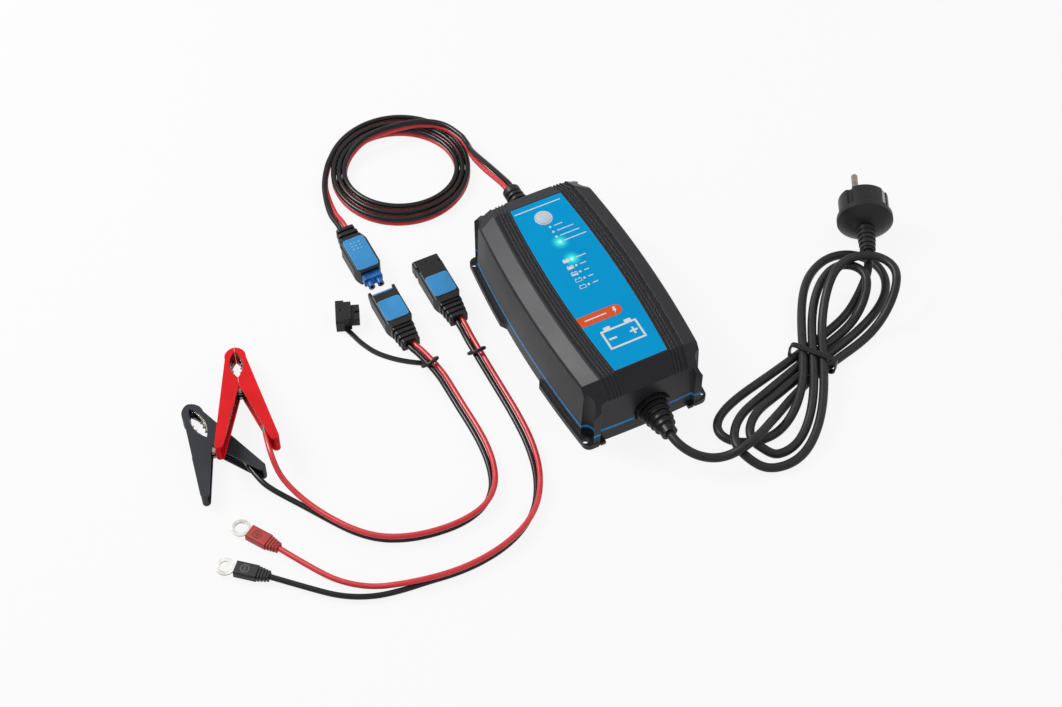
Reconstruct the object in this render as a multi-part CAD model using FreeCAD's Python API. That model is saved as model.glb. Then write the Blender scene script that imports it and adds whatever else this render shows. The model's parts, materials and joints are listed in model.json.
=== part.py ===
import FreeCAD, Part
import math
import os
from FreeCAD import Vector

os.makedirs("parts", exist_ok=True)

# A sealed 12 V battery charger with its mains lead, output lead, battery-clamp lead and
# ring-terminal lead. Millimetres. Origin at the middle of the case's underside, +Z up, the long
# axis along Y with the mains end at -Y, +X to the right seen from the mains end.

# Driving dimensions: case
side_radius = 835.0
base_half = 50.6
flange_half = 53.9
shell_top_half = 48.9
shell_top_z = 53.5
slope_top_half = 37.2
slope_top_z = 59.2
deck_half = 36.4
deck_z = 60.0
seal_z = 12.0
seal_height = 2.2
wall = 2.5
roof_wall = 3.7
end_wall_reach = 91.6
end_wall_bow = 0.9
end_wall = 3.1
pillar_reach = 94.5
pillar_inner = 37.5
pillar_step = 1.3
edge_round = 2.6

# Driving dimensions: the sloping ends of the roof
break_reach = 81.0
foot_reach = 97.0
side_break_reach = 78.0
front_foot_half = 30.9
front_foot_z = 40.3
rear_foot_half = 29.0
rear_foot_z = 53.4
ridge_land = 0.5
cutter_size = 160.0

# Driving dimensions: ears, feet and screws
ear_x = 46.25
ear_y = 89.0
ear_hole_radius = 2.3
ear_thickness = 4.5
ear_reach = 95.0
ear_corner = 5.6
ear_inner_half = 38.5
flute_radius = 6.6
flange_start = 26.0
flange_full = 31.5
foot_half = 35.0
foot_size = 4.0
foot_height = 3.0
screw_x = 38.0
screw_y = 72.0
screw_radius = 1.5
screw_clearance = 0.1
screw_head_radius = 2.9
screw_head_height = 1.6
screw_length = 24.0
boss_radius = 3.6

# Driving dimensions: grooves, label, button and lamps
label_half = 24.2
label_reach = 80.0
label_thickness = 0.6
groove_depth = 1.2
rib_width = 1.0
groove_width = 1.5
wide_groove_width = 3.4
button_x = -1.6
button_y = 63.8
button_radius = 5.4
button_proud = 0.5
button_gap = 0.15
button_travel = 0.7
button_lip = 1.2
button_lip_height = 1.4
button_stem_radius = 1.8
lens_radius = 0.9
lens_clearance = 0.02
mode_lamps = [(-1.2, 54.1), (-1.2, 49.0), (-1.2, 43.9), (-1.2, 38.6)]
charge_lamps = [(-0.8, 20.9), (-0.8, 14.2), (-0.8, 7.9), (-0.8, 1.6), (-0.8, -5.0)]

# Driving dimensions: inside the case
board_width = 74.0
board_length = 118.0
board_thickness = 1.6
board_z = 18.0
board_post_radius = 3.0
board_post_x = 32.0
board_post_y = 54.0
lamp_board_width = 24.0
lamp_board_y0 = -14.0
lamp_board_y1 = 74.0
lamp_board_thickness = 1.2
lamp_board_gap = 6.0
lamp_post_radius = 1.6
core_x = -12.0
core_y = 8.0
core_width = 34.0
core_length = 30.0
core_height = 24.0
core_leg = 7.0
winding_wall = 6.0
capacitor_radius = 8.0
capacitor_height = 25.0
capacitor_places = [(-24.0, -44.0), (-5.0, -44.0), (24.0, 46.0)]
heatsink_x = 24.0
heatsink_y = -6.0
heatsink_length = 62.0
heatsink_thickness = 3.0
heatsink_height = 26.0
fin_count = 5
fin_depth = 6.0
transistor_width = 10.0
transistor_height = 15.0
transistor_thickness = 4.5
transistor_count = 3
transistor_pitch = 18.0
choke_x = -16.0
choke_y = 44.0
choke_radius = 10.0
choke_wire = 4.0
fuse_x = 18.0
fuse_y = -50.0
fuse_length = 20.0
fuse_radius = 2.6
fuse_clip = 3.0

# Driving dimensions: glands
mains_cord_diameter = 6.5
gland_x = 4.0
gland_z = 18.5
gland_seat_reach = 91.0
gland_plate_flats = 25.0
gland_plate_thickness = 4.0
gland_root_radius = 12.0
gland_neck_radius = 7.4
gland_core_ratio = 0.8
gland_rings = 4
gland_ring_pitch = 4.5
gland_ring_length = 2.5
gland_sleeve_radius = 6.0
gland_sleeve_length = 6.0
gland_recess_radius = 14.5
cord_socket_depth = 3.5
cord_socket_gap = 0.3
out_gland_x = -2.5
out_gland_z = 38.0
out_gland_root_radius = 8.0
out_gland_neck_radius = 6.4
out_gland_rings = 3
out_gland_ring_pitch = 4.6
out_gland_ring_length = 3.4
out_gland_root_length = 5.0
out_gland_end_radius = 6.7
out_gland_end_length = 6.6
out_gland_round = 1.2

# Driving dimensions: two-core lead and its connectors
core_diameter = 4.0
core_pitch = 4.3
floor_gap = 0.2
output_connector_x = -119.9
output_connector_dy = -1.5
clamp_socket_x = -119.9
clamp_socket_dy = -1.0
connector_width = 21.0
connector_height = 14.0
connector_corner = 2.2
shoulder_in = 3.4
shoulder_length = 6.0
sleeve_width = 17.2
sleeve_height = 10.8
sleeve_wall = 1.0
sleeve_front = 2.4
sleeve_depth = 10.0
nose_width = 14.4
nose_height = 8.0
nose_length = 5.5
barrel_radius = 2.5
barrel_bore = 1.55
barrel_pitch = 7.2
barrel_length = 5.5
contact_wall = 0.5
contact_depth = 9.0
pin_radius = 1.1
pin_length = 9.0
pad_proud = 0.7
pad_corner = 2.6
output_front_y = 113.5
output_rear_y = 149.0
output_boot_y = 161.0
output_pad_width = 17.0
output_pad_length = 31.0
socket_mouth_y = 89.0
socket_horn = 5.0
socket_horn_width = 2.2
socket_shoulder_y = 57.0
socket_boot_y = 42.0
socket_pad_width = 18.0
socket_pad_length = 19.5
socket_pad_gap = 7.0
boot_width = 14.0
boot_height = 11.0
boot_rib = 2.6
boot_groove = 1.6
boot_groove_depth = 1.5
eyelet_socket_x = -80.2
eyelet_socket_dy = 1.8
eyelet_socket_lift = 2.8
cap_height = 12.6
cap_width = 21.0
cap_thickness = 6.0
cap_plug_width = 14.6
cap_plug_height = 8.0
cap_plug_length = 8.0
cap_pin_clearance = 0.6
strap_width = 3.2
strap_thickness = 2.0
cap_ring_radius = 6.0
cap_ring_wire = 1.3
cap_ring_lean = 38.0

# Driving dimensions: plug
plug_axis_x = 0.47
plug_axis_y = 0.8827
plug_flange_x = 226.7
plug_flange_y = -15.9
plug_z = 21.2
plug_flange_radius = 20.9
plug_flange_thickness = 3.6
plug_face_radius = 18.6
plug_face_length = 17.0
plug_dome_length = 8.4
plug_relief_length = 22.0
plug_relief_root = 7.4
plug_relief_end = 5.6
plug_relief_ribs = 5
plug_pin_radius = 2.4
plug_pin_length = 19.0
plug_pin_tip = 1.2
plug_shank_radius = 2.0
plug_shank_length = 8.0
plug_pin_pitch = 19.0
plug_roll = 131.0
plug_notch_radius = 2.6
plug_notch_depth = 1.6
earth_strip_width = 5.0
earth_strip_thickness = 0.8
earth_strip_length = 12.0

# Driving dimensions: clamps
clamp_height = 12.0
clamp_tip = 40.0
clamp_shoulder_x = 7.5
clamp_shoulder_y = 29.0
clamp_end_width = 5.9
clamp_skin = 1.5
clamp_meet_gap = 0.2
clamp_eye_start = 8.0
clamp_eye_half = 4.2
eye_middle = (clamp_eye_start + clamp_tip) / 2 + 3.0
grip_ridges = 14
grip_pitch = 2.0
grip_radius = 0.8
jaw_sheet = 1.0
jaw_gap = 0.3
jaw_teeth = 4
tooth_start = 6.5
tooth_pitch = 4.2
tooth_half = 1.7
tooth_fall = 11.5
jaw_tooth = 0.6
jaw_show = 0.7
jaw_stop = 5.2
jaw_play = 0.05
jaw_recess = 1.2
cord_exit_share = 0.3
cord_inside = 10.0
crimp_length = 8.0
cord_landing = 6.0
pivot_radius = 2.0
pivot_clearance = 0.05
spring_wire = 1.2
spring_radius = 3.5
spring_turns = 1
spring_rise = 2.9
spring_leg = 22.0
spring_lean = 2.42
red_pivot = (-247.2, 50.8)
red_heading = -15.3
red_tilt = 10.7
red_spread = 9.8
red_length = 86.0
black_pivot = (-281.3, 19.5)
black_heading = 4.5
black_tilt = 0.0
black_spread = 15.3
black_length = 64.0

# Driving dimensions: ring terminals
ring_outer = 6.6
ring_hole = 4.15
ring_thickness = 1.0
ring_z = 2.6
ring_neck_width = 5.0
terminal_boot_length = 15.6
terminal_boot_width = 10.6
terminal_boot_height = 6.8
terminal_rib_length = 8.4
terminal_ribs = 4
terminal_rib_width = 9.4
terminal_rib_end = 6.6
terminal_rib_height = 6.2
red_ring = (-287.3, -46.9)
red_ring_angle = -57.5
black_ring = (-308.0, -70.5)
black_ring_angle = -41.0

overcut = 1.0


# Basic shapes

def save(name, shape):
    shape.exportStep("parts/%s.step" % name)
    solids = shape.Solids
    box = shape.BoundBox
    print("%-26s %2d solids %10.1f mm3  x %7.1f %7.1f  y %7.1f %7.1f  z %6.1f %6.1f  %s" % (
        name, len(solids), sum(s.Volume for s in solids), box.XMin, box.XMax, box.YMin, box.YMax,
        box.ZMin, box.ZMax, "ok" if shape.isValid() else "INVALID"))


def block(x0, x1, y0, y1, z0, z1):
    return Part.makeBox(x1 - x0, y1 - y0, z1 - z0, Vector(x0, y0, z0))


def rod(radius, start, direction, length):
    return Part.makeCylinder(radius, length, start, direction)


def tapered(start_radius, end_radius, start, direction, length):
    if abs(start_radius - end_radius) < 1e-6:
        return rod(start_radius, start, direction, length)
    return Part.makeCone(start_radius, end_radius, length, start, direction)


def fused(shapes):
    result = shapes[0]
    if len(shapes) > 1:
        result = result.multiFuse(shapes[1:])
    return result.removeSplitter()


def group(shapes):
    return Part.makeCompound(shapes)


def polygon(points):
    return Part.Face(Part.makePolygon(points + [points[0]]))


def moved(shape, offset):
    copy = shape.copy()
    copy.translate(offset)
    return copy


# Cord tubes: straight runs joined by tangent arcs

def corner_edge(start, corner, end):
    """The arc that leaves start towards corner and arrives at end, or a line when they align."""
    arriving = (corner - start).normalize()
    leaving = (end - corner).normalize()
    turn = arriving.getAngle(leaving)
    if turn < 1e-4:
        return Part.makeLine(start, end)
    reach = (corner - start).Length
    radius = reach / math.tan(turn / 2)
    inward = (leaving - arriving).normalize()
    middle = corner + inward * (math.hypot(radius, reach) - radius)
    return Part.Arc(start, middle, end).toShape()


def tube_path(route):
    """Edges of a cord's centre line, and the radii of its bends."""
    points = [Vector(*p) for p in route]
    edges = []
    radii = []
    previous = points[0]
    for before, here, after in zip(points, points[1:], points[2:]):
        arriving = here - before
        leaving = after - here
        reach = 0.45 * min(arriving.Length, leaving.Length)
        turn = arriving.getAngle(leaving)
        radii.append(reach / math.tan(turn / 2))
        arc_start = here - arriving.normalize() * reach
        arc_end = here + leaving.normalize() * reach
        edges.append(Part.makeLine(previous, arc_start))
        edges.append(corner_edge(arc_start, here, arc_end))
        previous = arc_end
    edges.append(Part.makeLine(previous, points[-1]))
    return edges, radii


def swept(edges, diameter):
    path = Part.Wire(edges)
    first = edges[0]
    start = first.valueAt(first.FirstParameter)
    direction = first.tangentAt(first.FirstParameter)
    ring = Part.Wire(Part.makeCircle(diameter / 2, start, direction))
    return path.makePipeShell([ring], True, False), path.Length


def tube(name, route, diameter):
    edges, radii = tube_path(route)
    solid, length = swept(edges, diameter)
    section = math.pi * diameter ** 2 / 4
    print("%s: length %.1f, tightest radius %.1f (%.1f diameters), volume ratio %.4f" % (
        name, length, min(radii), min(radii) / diameter, solid.Volume / (section * length)))
    print("   radii", " ".join("%.0f" % r for r in radii))
    return solid


def biarc(start, start_way, end, end_way):
    """Two tangent arcs from start to end."""
    chord = end - start
    ways = start_way + end_way
    quad = 2 * (1 - start_way.dot(end_way))
    along = chord.dot(ways)
    if quad < 1e-9:
        reach = chord.dot(chord) / (4 * chord.dot(start_way))
    else:
        reach = (-along + math.sqrt(along ** 2 + quad * chord.dot(chord))) / quad
    first = start + start_way * reach
    second = end - end_way * reach
    middle = (first + second) * 0.5
    return [corner_edge(start, first, middle), corner_edge(middle, second, end)]


def formula_path(place, steps, lead):
    """Biarcs through place(0..1) at even steps, with straight ends of length lead."""
    delta = 1e-5
    points = []
    for index in range(steps + 1):
        t = index / steps
        low = max(0.0, t - delta)
        high = min(1.0, t + delta)
        way = (place(high) - place(low)).normalize()
        points.append((place(t), way))
    start, start_way = points[0]
    end, end_way = points[-1]
    edges = [Part.makeLine(start - start_way * lead, start)]
    for (a, a_way), (b, b_way) in zip(points, points[1:]):
        edges.extend(biarc(a, a_way, b, b_way))
    edges.append(Part.makeLine(end, end + end_way * lead))
    return edges


def own_gap(edges, diameter):
    """Least gap of a wound tube to itself, measured on points of its centre line."""
    points = []
    travelled = 0.0
    for edge in edges:
        count = max(2, int(edge.Length / 1.5))
        for point in edge.discretize(count)[:-1]:
            points.append((travelled, point))
            travelled += edge.Length / (count - 1)
    least = 1e9
    for i in range(0, len(points)):
        si, pi = points[i]
        for j in range(i + 1, len(points)):
            sj, pj = points[j]
            if sj - si > 4 * diameter:
                least = min(least, (pi - pj).Length)
    return least - diameter




# Case: bowed outlines

def bowed(half, y):
    """Half width at y of a long edge that is half wide at the middle."""
    return half - (side_radius - math.sqrt(side_radius ** 2 - y ** 2))


def bow_edge(half, y0, y1, z):
    sign = math.copysign(1, half)
    middle = (y0 + y1) / 2
    return Part.Arc(Vector(sign * bowed(abs(half), y0), y0, z),
                    Vector(sign * bowed(abs(half), middle), middle, z),
                    Vector(sign * bowed(abs(half), y1), y1, z)).toShape()


def barrel(half, reach, z):
    x = bowed(half, reach)
    return Part.Wire([bow_edge(half, -reach, reach, z),
                      Part.makeLine(Vector(x, reach, z), Vector(-x, reach, z)),
                      bow_edge(-half, reach, -reach, z),
                      Part.makeLine(Vector(-x, -reach, z), Vector(x, -reach, z))])


def case_end(x, sign, z):
    """Pillars and bowed wall of one end, from +X to -X."""
    stepped = pillar_inner - pillar_step
    points = [Vector(x, sign * pillar_reach, z), Vector(pillar_inner, sign * pillar_reach, z),
              Vector(stepped, sign * end_wall_reach, z)]
    far = [Vector(-p.x, p.y, z) for p in reversed(points)]
    arc = Part.Arc(points[-1], Vector(0, sign * (end_wall_reach + end_wall_bow), z), far[0]).toShape()
    edges = [Part.makeLine(a, b) for a, b in zip(points, points[1:])]
    edges.append(arc)
    edges.extend(Part.makeLine(a, b) for a, b in zip(far, far[1:]))
    return edges


def case_outline(half, z):
    x = bowed(half, pillar_reach)
    edges = [bow_edge(half, -pillar_reach, pillar_reach, z)]
    edges.extend(case_end(x, 1, z))
    edges.append(bow_edge(-half, pillar_reach, -pillar_reach, z))
    edges.extend(case_end(x, -1, z))
    return Part.Wire(Part.sortEdges(edges)[0])


def flutes(radius, z0, z1):
    return [rod(radius, Vector(sx * ear_x, sy * ear_y, z0), Vector(0, 0, 1), z1 - z0)
            for sx in (-1, 1) for sy in (-1, 1)]


def case_slice(z0, z1, half0, half1):
    """Drafted ring or block of the case between two heights, with its corner flutes."""
    body = Part.makeLoft([case_outline(half0, z0), case_outline(half1, z1)], True, True)
    return body.cut(flutes(flute_radius, z0 - overcut, z1 + overcut))


def cavity(z0, z1):
    """Room inside the walls."""
    room = Part.makeLoft([barrel(base_half - wall, end_wall_reach - end_wall, z0),
                          barrel(base_half - wall, end_wall_reach - end_wall, z1)], True, True)
    return room.cut(flutes(flute_radius + wall, z0 - overcut, z1 + overcut))


def roof_block(drop):
    """Everything under the deck and the side slopes, lowered by drop."""
    fall = (shell_top_half - slope_top_half) / (slope_top_z - shell_top_z)
    low_z = -20.0
    low_half = shell_top_half + (shell_top_z - low_z) * fall
    sections = [barrel(low_half, foot_reach + overcut, low_z - drop),
                barrel(slope_top_half, foot_reach + overcut, slope_top_z - drop),
                barrel(deck_half, foot_reach + overcut, deck_z - drop)]
    return Part.makeLoft(sections, True, True)


def above_plane(a, b, c):
    """Large block that stands on the plane through three points."""
    normal = (b - a).cross(c - a).normalize()
    if normal.z < 0:
        normal = normal * -1
    cutter = block(-cutter_size / 2, cutter_size / 2, -cutter_size / 2, cutter_size / 2, 0, cutter_size)
    cutter.Placement = FreeCAD.Placement(a, FreeCAD.Rotation(Vector(0, 0, 1), normal))
    return cutter


def end_cuts(sign, foot_half, foot_z, drop):
    """What is above the sloping roof of one end: the middle slope and the two corner facets."""
    deck = bowed(deck_half, break_reach) + ridge_land
    side = bowed(shell_top_half, side_break_reach)
    middle = [Vector(x, sign * y, z - drop)
              for x, y, z in ((-1, break_reach, deck_z), (1, break_reach, deck_z),
                              (0, foot_reach, foot_z))]
    cuts = [above_plane(*middle)]
    for sx in (-1, 1):
        corner = [Vector(sx * x, sign * y, z - drop)
                  for x, y, z in ((deck, break_reach, deck_z),
                                  (foot_half + ridge_land, foot_reach, foot_z),
                                  (side, side_break_reach, shell_top_z))]
        cuts.append(above_plane(*corner))
    return cuts


def all_end_cuts(drop):
    return (end_cuts(-1, front_foot_half, front_foot_z, drop)
            + end_cuts(1, rear_foot_half, rear_foot_z, drop))


def groove_cuts(inner, outer, depth):
    """One groove on both sides: along the deck, then down both ends."""
    cuts = []
    for side in (-1, 1):
        inner_edge = bow_edge(side * inner, -break_reach, break_reach, deck_z - depth)
        outer_edge = bow_edge(side * outer, -break_reach, break_reach, deck_z - depth)
        ends = [Part.makeLine(inner_edge.valueAt(inner_edge.LastParameter),
                              outer_edge.valueAt(outer_edge.LastParameter)),
                Part.makeLine(inner_edge.valueAt(inner_edge.FirstParameter),
                              outer_edge.valueAt(outer_edge.FirstParameter))]
        face = Part.Face(Part.Wire(Part.sortEdges([inner_edge, outer_edge] + ends)[0]))
        cuts.append(face.extrude(Vector(0, 0, depth + overcut)))
        for sign, foot_half, foot_z in ((-1, front_foot_half, front_foot_z),
                                        (1, rear_foot_half, rear_foot_z)):
            turn_in = bowed(deck_half, break_reach) - foot_half
            sections = []
            for y, shift, z in ((break_reach, 0.0, deck_z), (foot_reach, turn_in, foot_z)):
                x0 = side * (bowed(inner, break_reach) - shift)
                x1 = side * (bowed(outer, break_reach) - shift)
                sections.append(Part.makePolygon([
                    Vector(x0, sign * y, z - depth), Vector(x1, sign * y, z - depth),
                    Vector(x1, sign * y, z + overcut), Vector(x0, sign * y, z + overcut),
                    Vector(x0, sign * y, z - depth)]))
            cuts.append(Part.makeLoft(sections, True, True))
    return cuts


def groove_list():
    spans = []
    start = label_half + 1.3
    for _ in range(3):
        spans.append((start, start + groove_width))
        start += groove_width + rib_width
    spans.append((start, start + wide_groove_width))
    return spans


def rounded_face(width, height, corner):
    """Rectangle with rounded corners in the XY plane, centred at the origin."""
    a = width / 2
    b = height / 2
    r = min(corner, a * 0.98, b * 0.98)
    edges = []
    ends = []
    for sx, sy, start in ((1, -1, -90), (1, 1, 0), (-1, 1, 90), (-1, -1, 180)):
        centre = Vector(sx * (a - r), sy * (b - r), 0)
        points = [centre + Vector(r * math.cos(math.radians(start + step)),
                                  r * math.sin(math.radians(start + step)), 0)
                  for step in (0, 45, 90)]
        edges.append(Part.Arc(*points).toShape())
        ends.append((points[0], points[2]))
    for index, (_, leaving) in enumerate(ends):
        following = ends[(index + 1) % 4][0]
        edges.append(Part.makeLine(leaving, following))
    return Part.Face(Part.Wire(Part.sortEdges(edges)[0]))


def plate(width, length, corner, x, y, z0, z1):
    """Flat plate with rounded corners, centred at x, y."""
    solid = rounded_face(width, length, corner).extrude(Vector(0, 0, z1 - z0))
    return moved(solid, Vector(x, y, z0))


def bar(width, height, corner, x, y0, y1, z):
    """Bar along Y with rounded long edges, its section centred at x, z."""
    face = rounded_face(width, height, corner)
    face.rotate(Vector(0, 0, 0), Vector(1, 0, 0), 90)
    face.translate(Vector(x, y0, z))
    return face.extrude(Vector(0, y1 - y0, 0))


def lamp_places():
    return mode_lamps + charge_lamps


lamp_board_top = deck_z - roof_wall - lamp_board_gap
lamp_board_low = lamp_board_top - lamp_board_thickness
lamp_board_x = 1.0
lamp_posts = [(lamp_board_x + sx * (lamp_board_width / 2 - 2.4), y)
              for sx in (-1, 1) for y in (lamp_board_y0 + 3.0, lamp_board_y1 - 3.0)]


def make_shell():
    walls = case_slice(seal_z + seal_height, deck_z + overcut,
                       base_half, shell_top_half - (deck_z - shell_top_z) * 0.04)
    outer = walls.common(roof_block(0.0))
    edges = [e for e in outer.Edges
             if abs(abs(e.CenterOfMass.x) - shell_top_half) < 3.0 and abs(e.CenterOfMass.y) < 1.0
             and abs(e.CenterOfMass.z - shell_top_z) < 1.5]
    print("rounded shell edges:", len(edges))
    outer = outer.makeFillet(edge_round, edges)
    outer = outer.cut(all_end_cuts(0.0))
    grooves = []
    for inner, outer_half in groove_list():
        grooves.extend(groove_cuts(inner, outer_half, groove_depth))
    outer = outer.cut(grooves)
    room = cavity(seal_z - overcut, deck_z + overcut).common(roof_block(roof_wall))
    room = room.cut(all_end_cuts(roof_wall))
    shell = outer.cut(room)
    bosses = []
    for sx in (-1, 1):
        for sy in (-1, 1):
            boss = rod(boss_radius, Vector(sx * screw_x, sy * screw_y, seal_z + seal_height),
                       Vector(0, 0, 1), deck_z)
            bosses.append(boss.common(outer))
    for x, y in lamp_posts:
        bosses.append(rod(lamp_post_radius, Vector(x, y, lamp_board_top), Vector(0, 0, 1),
                          deck_z - roof_wall - lamp_board_top + overcut))
    shell = shell.fuse(bosses)
    cuts = [rod(screw_radius + screw_clearance, Vector(sx * screw_x, sy * screw_y, 0),
                Vector(0, 0, 1), screw_length + 3.0) for sx in (-1, 1) for sy in (-1, 1)]
    cuts.append(label_solid(0.0, overcut))
    cuts.append(button_hole())
    for x, y in lamp_places():
        cuts.append(rod(lens_radius + lens_clearance, Vector(x, y, lamp_board_top), Vector(0, 0, 1),
                        deck_z))
    cuts.append(mains_seat())
    cuts.append(mains_bore())
    cuts.append(out_seat())
    cuts.append(out_bore())
    return shell.cut(cuts)


def label_solid(gap, above):
    """Plate of the front label, with bowed long sides."""
    z = deck_z - label_thickness
    face = Part.Face(Part.Wire(barrel(label_half - gap, label_reach - gap, z)))
    return face.extrude(Vector(0, 0, label_thickness + above))


def button_hole():
    return rod(button_radius + button_gap,
               Vector(button_x, button_y, deck_z - roof_wall - overcut), Vector(0, 0, 1),
               roof_wall + 2 * overcut)


def make_label():
    cuts = [button_hole()]
    for x, y in lamp_places():
        cuts.append(rod(lens_radius + lens_clearance, Vector(x, y, deck_z - 2), Vector(0, 0, 1), 4))
    return label_solid(0.0, 0.0).cut(cuts)


def make_button():
    roof_under = deck_z - roof_wall
    lip_foot = Vector(button_x, button_y, roof_under - button_gap - button_lip_height)
    cap = rod(button_radius, lip_foot, Vector(0, 0, 1), deck_z + button_proud - lip_foot.z)
    lip = rod(button_radius + button_lip, lip_foot, Vector(0, 0, 1), button_lip_height)
    stem = rod(button_stem_radius, Vector(button_x, button_y, switch_top + button_travel + button_gap),
               Vector(0, 0, 1), roof_under - button_gap - switch_top - button_travel - button_gap)
    return fused([cap, lip, stem])


switch_height = 2.0
switch_size = 6.0
switch_top = lamp_board_top + switch_height


def make_switch():
    return plate(switch_size, switch_size, 0.4, button_x, button_y, lamp_board_top, switch_top)


def make_lenses():
    return group([rod(lens_radius, Vector(x, y, lamp_board_top), Vector(0, 0, 1),
                      deck_z - lamp_board_top) for x, y in lamp_places()])


def make_lamp_board():
    return block(lamp_board_x - lamp_board_width / 2, lamp_board_x + lamp_board_width / 2,
                 lamp_board_y0, lamp_board_y1, lamp_board_low, lamp_board_top)


def flange_quarter(sx, sy):
    """Edge flange and screw ear of one corner."""
    side = flange_half
    start = bowed(base_half, flange_start)
    full = bowed(side, flange_full)
    corner_y = ear_reach - ear_corner
    corner_x = bowed(side, corner_y)
    turn = math.radians(45)
    arc_middle = Vector(corner_x - ear_corner + ear_corner * math.cos(turn),
                        corner_y + ear_corner * math.sin(turn), 0)
    middle_y = (flange_full + corner_y) / 2
    inside = start - 8.0
    p_start = Vector(start - 0.3, flange_start, 0)
    p_full = Vector(full, flange_full, 0)
    p_corner = Vector(corner_x, corner_y, 0)
    p_end = Vector(corner_x - ear_corner, ear_reach, 0)
    p_ear = Vector(ear_inner_half, ear_reach, 0)
    p_step = Vector(pillar_inner - pillar_step - 0.5, end_wall_reach - 0.4, 0)
    p_back = Vector(pillar_inner - pillar_step - 0.5, ear_y - 12.0, 0)
    p_in = Vector(inside, flange_start, 0)
    edges = [Part.makeLine(p_start, p_full),
             Part.Arc(p_full, Vector(bowed(side, middle_y), middle_y, 0), p_corner).toShape(),
             Part.Arc(p_corner, arc_middle, p_end).toShape(),
             Part.makeLine(p_end, p_ear), Part.makeLine(p_ear, p_step), Part.makeLine(p_step, p_back),
             Part.makeLine(p_back, p_in), Part.makeLine(p_in, p_start)]
    face = Part.Face(Part.Wire(edges))
    solid = face.extrude(Vector(0, 0, ear_thickness))
    return mirrored(solid, sx, sy)


def mirrored(solid, sx, sy):
    result = solid
    if sx < 0:
        result = result.mirror(Vector(0, 0, 0), Vector(1, 0, 0))
    if sy < 0:
        result = result.mirror(Vector(0, 0, 0), Vector(0, 1, 0))
    return result


def make_base():
    body = Part.makeLoft([case_outline(base_half, 0.0), case_outline(base_half, seal_z)], True, True)
    body = body.cut(flutes(flute_radius, ear_thickness, seal_z + overcut))
    body = body.fuse([flange_quarter(sx, sy) for sx in (-1, 1) for sy in (-1, 1)])
    feet = []
    for sx in (-1, 1):
        feet.append(block(sx * foot_half - foot_size / 2, sx * foot_half + foot_size / 2,
                          -ear_reach, -end_wall_reach + 1.0, 0.0, foot_height))
    body = body.fuse(feet)
    body = body.cut(cavity(wall, seal_z + overcut))
    posts = []
    for sx in (-1, 1):
        for sy in (-1, 1):
            posts.append(rod(board_post_radius, Vector(sx * board_post_x, sy * board_post_y, 0),
                             Vector(0, 0, 1), board_z))
            posts.append(rod(boss_radius, Vector(sx * screw_x, sy * screw_y, 0), Vector(0, 0, 1),
                             seal_z))
    body = body.fuse(posts)
    cuts = [mains_seat(), out_seat()]
    for sx in (-1, 1):
        for sy in (-1, 1):
            at = Vector(sx * screw_x, sy * screw_y, -overcut)
            cuts.append(rod(screw_radius + screw_clearance, at, Vector(0, 0, 1), 30.0))
            cuts.append(rod(screw_head_radius + screw_clearance, at, Vector(0, 0, 1),
                            overcut + screw_head_height + 0.2))
            cuts.append(rod(ear_hole_radius, Vector(sx * ear_x, sy * ear_y, -overcut),
                            Vector(0, 0, 1), ear_thickness + 2 * overcut))
    return body.cut(cuts).removeSplitter()


def make_gasket():
    ring = case_slice(seal_z, seal_z + seal_height, base_half, base_half)
    ring = ring.cut(cavity(seal_z - overcut, seal_z + seal_height + overcut))
    lands = [rod(boss_radius, Vector(sx * screw_x, sy * screw_y, seal_z), Vector(0, 0, 1), seal_height)
             for sx in (-1, 1) for sy in (-1, 1)]
    bores = [rod(screw_radius + screw_clearance, Vector(sx * screw_x, sy * screw_y, 0),
                 Vector(0, 0, 1), 30.0) for sx in (-1, 1) for sy in (-1, 1)]
    return group(ring.cut([mains_seat(), mains_bore(), out_seat()]).Solids + [s.cut(bores) for s in lands])


def make_screws():
    screws = []
    for sx in (-1, 1):
        for sy in (-1, 1):
            at = Vector(sx * screw_x, sy * screw_y, 0.2)
            head = rod(screw_head_radius, at, Vector(0, 0, 1), screw_head_height)
            shank = rod(screw_radius, at, Vector(0, 0, 1), screw_length)
            slot = rod(screw_radius * 0.8, at - Vector(0, 0, 0.1), Vector(0, 0, 1), 1.0)
            screws.append(head.fuse(shank).cut(slot))
    return group(screws)


# Glands

def mains_seat():
    return rod(gland_recess_radius, Vector(gland_x, -gland_seat_reach, gland_z), Vector(0, -1, 0), 8.0)


def mains_bore():
    return rod(gland_bore_radius, Vector(gland_x, -gland_seat_reach - 5, gland_z), Vector(0, 1, 0), 12.0)


def out_seat():
    return rod(out_gland_root_radius + 1.0, Vector(out_gland_x, gland_seat_reach, out_gland_z),
               Vector(0, 1, 0), 8.0)


def out_bore():
    return rod(out_gland_bore_radius, Vector(out_gland_x, gland_seat_reach + 5, out_gland_z),
               Vector(0, -1, 0), 12.0)


gland_bore_radius = 4.6
out_gland_bore_radius = 5.0
gland_tail = 6.0


def ribbed_boot(start, way, length, root, end, rings, ring_pitch, ring_length, core_ratio):
    """Tapered strain relief: a tapered core with rings along it."""
    core = tapered(root * core_ratio, end * core_ratio, start, way, length)
    parts = [core]
    first = (length - (rings - 1) * ring_pitch - ring_length) / 2
    for index in range(rings):
        place = first + index * ring_pitch
        radius = root + (end - root) * (place + ring_length / 2) / length
        parts.append(rod(radius, start + way * place, way, ring_length))
    return parts


def octagon(flats, start, way, thickness):
    radius = flats / 2 / math.cos(math.pi / 8)
    points = []
    for index in range(8):
        angle = math.pi / 8 + index * math.pi / 4
        points.append(start + Vector(radius * math.cos(angle), 0, radius * math.sin(angle)))
    return polygon(points).extrude(way * thickness)


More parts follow.
